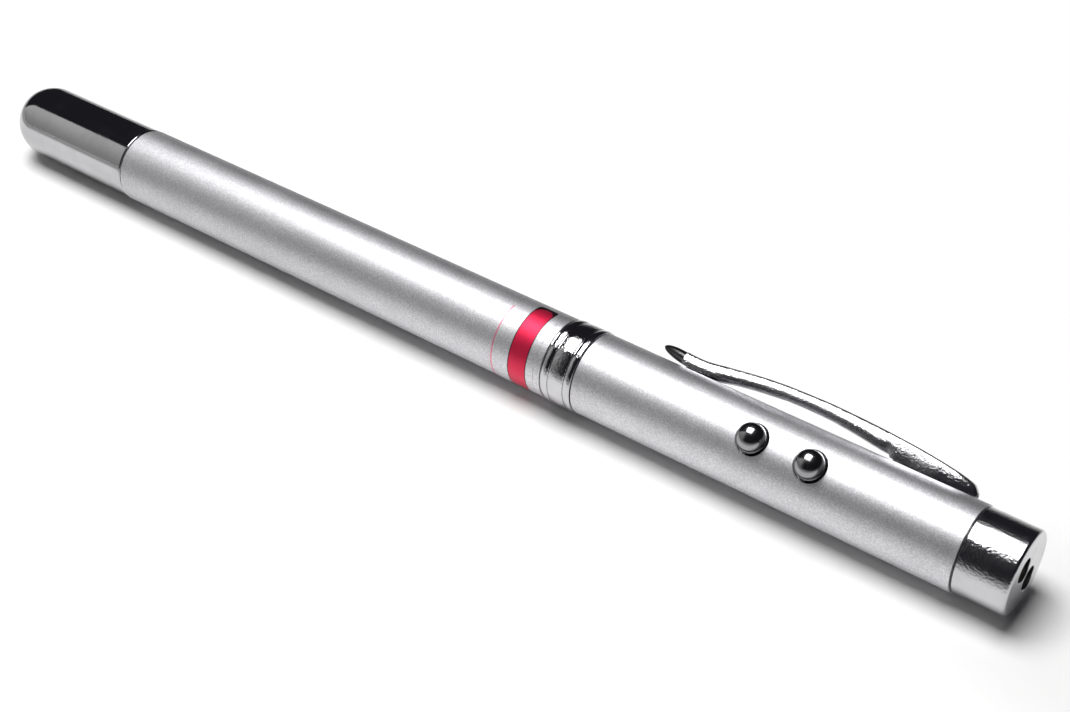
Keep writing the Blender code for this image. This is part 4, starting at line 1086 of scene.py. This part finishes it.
FLOOR_SIZE = 6.0
FLOOR_COLOUR = (0.95, 0.95, 0.945)
FLOOR_LIFT = 0.09         # how much whiter the floor is seen than it is lit
FLOOR_LIFT_RISE = (0.006, 0.022)  # from the pen's line, where the lift begins and where it is full; unlifted near the pen, the floor there is painted shade
FLOOR_WHITE_RISE = (0.05, 0.7)  # the same for its turning plain white to the camera
FLOOR_PAINTED_SHADE_FAR = (0.02, 0.06)  # from the pen's line, where its reflection begins to darken and is darkest: painted shade that only reflections see
FLOOR_PAINTED_SHADE_TAIL = (-0.02, 0.04, 0.0, 0.30)  # the same along the pen towards the tail, and as what share of the painted darkening
# painted shade: the floor's tone in reflections where that darkening is full
FLOOR_PAINTED_SHADE_COLOUR = (0.30, 0.30, 0.295)
ROOM_COLOUR = (0.016, 0.015, 0.019)
BACKDROP_TOP = (0.0, 0.015)  # height in a reflection at which the white backdrop ends and the room begins
WALL_COLOUR = (0.55, 0.55, 0.54)
WALL_REACH = (0.30, 0.72)  # how far towards the tail a reflection looks where it starts and is full
WALL_TOP = (radians(66), radians(70))  # angle over the horizon in front at which it ends
WALL_FOOT = 0.52          # its tone at the floor, as a share
BOX_SIZE = (0.40, 0.38)
BOX_PLACE = (-0.21, -0.02, 0.6)
BOX_POWER = 4.7
CAMERA_SENSOR = 36.0
CAMERA_LENS = 57.196
CAMERA_PLACE = (0.043256, -0.139211, 0.136396)
CAMERA_FORWARD = (-0.4730, 0.625585, -0.620414)
CAMERA_RIGHT = (0.797661, 0.603113, 0.0)
CAMERA_REACH = (0.01, 10)


def make_floor():
    """Pale floor that fades into the background, with painted shade: left unlifted along the pen, and darker
    in reflections away from the pen and towards the tail.
    """
    clear_selection()
    bpy.ops.mesh.primitive_plane_add(size=FLOOR_SIZE, location=(0, 0, 0))
    floor = name_new("floor")
    material, tree, shader, point = new_material("pale_floor", 0.0, 0.6)
    path = add_node(tree, "LightPath").outputs
    mirrored = larger(tree, path["Is Glossy Ray"], path["Is Transmission Ray"])
    seen = larger(tree, path["Is Camera Ray"], mirrored)
    parts = add_node(tree, "SeparateXYZ", in_0=point).outputs
    x = calculate(tree, "ADD", parts["X"], PEN_PLACE.x)
    past_end = minus(tree, calculate(tree, "ABSOLUTE", x), CAD_HIGH.x)
    far = larger(tree, calculate(tree, "ABSOLUTE", parts["Y"]), past_end)
    # painted shade: reflections see the floor darker away from the pen and towards the tail
    shade_towards_tail = spread(tree, times(tree, x, -1.0), *FLOOR_PAINTED_SHADE_TAIL)
    painted_shade = times(tree, path["Is Glossy Ray"], larger(tree, shade_towards_tail, spread(tree, far, *FLOOR_PAINTED_SHADE_FAR)))
    colour = mix_colour(tree, painted_shade, FLOOR_COLOUR, FLOOR_PAINTED_SHADE_COLOUR)
    feed(shader, Base_Color=colour, Specular_IOR_Level=0.2)
    # painted shade: the lift spares the floor near the pen, so the shadow there stays darker
    strength = times(tree, seen, spread(tree, far, *FLOOR_LIFT_RISE, 0.0, FLOOR_LIFT))
    beyond = times(tree, path["Is Camera Ray"], spread(tree, far, *FLOOR_WHITE_RISE))
    lift = add_node(tree, "Emission", in_Strength=calculate(tree, "ADD", strength, beyond))
    both = add_node(tree, "AddShader", in_0=shader.outputs[0], in_1=lift.outputs[0])
    feed(tree.nodes["Material Output"], Surface=both.outputs[0])
    floor.data.materials.append(material)


def make_world():
    """Dim room with one grey wall, for the polished pieces to reflect, over a white backdrop."""
    world = bpy.data.worlds.new("room")
    bpy.context.scene.world = world
    world.use_nodes = True
    tree = world.node_tree
    tree.nodes.clear()
    direction = add_node(tree, "TexCoord").outputs["Generated"]
    parts = add_node(tree, "SeparateXYZ", in_0=direction).outputs
    reach = spread(tree, times(tree, parts["X"], -1.0), *WALL_REACH)
    rise = calculate(tree, "ARCTAN2", parts["Z"], times(tree, parts["Y"], -1.0))
    top = spread(tree, rise, *WALL_TOP, 1.0, 0.0)
    tone = spread(tree, rise, 0.0, WALL_TOP[0], WALL_FOOT, 1.0)
    share = times(tree, times(tree, reach, top), tone)
    room = add_node(tree, "Background", in_Color=mix_colour(tree, share, ROOM_COLOUR, WALL_COLOUR))
    white = add_node(tree, "Background", in_Color=(1, 1, 1, 1))
    path = add_node(tree, "LightPath").outputs
    mirrored = larger(tree, path["Is Glossy Ray"], path["Is Transmission Ray"])
    backdrop = times(tree, mirrored, spread(tree, parts["Z"], *BACKDROP_TOP, 1.0, 0.0))
    mix = add_node(tree, "MixShader", in_0=larger(tree, path["Is Camera Ray"], backdrop),
                   in_1=room.outputs[0], in_2=white.outputs[0])
    add_node(tree, "OutputWorld", in_Surface=mix.outputs[0])


def make_light():
    """Softbox over the pen."""
    light = bpy.data.lights.new("softbox", "AREA")
    light.shape = "RECTANGLE"
    light.size, light.size_y = BOX_SIZE
    light.energy = BOX_POWER
    lamp = bpy.data.objects.new("softbox", light)
    lamp.location = PEN_PLACE + Vector(BOX_PLACE)
    bpy.context.scene.collection.objects.link(lamp)


def make_camera():
    data = bpy.data.cameras.new("camera")
    data.sensor_width = CAMERA_SENSOR
    data.lens = CAMERA_LENS
    data.clip_start, data.clip_end = CAMERA_REACH
    camera = bpy.data.objects.new("camera", data)
    forward, right = Vector(CAMERA_FORWARD).normalized(), Vector(CAMERA_RIGHT).normalized()
    up = right.cross(forward)
    turn = Matrix((right, up, -forward)).transposed().to_4x4()
    camera.matrix_world = Matrix.Translation(PEN_PLACE + Vector(CAMERA_PLACE)) @ turn
    bpy.context.scene.collection.objects.link(camera)
    bpy.context.scene.camera = camera


make_floor()
make_world()
make_light()
make_camera()
bpy.context.scene.view_settings.view_transform = "Standard"
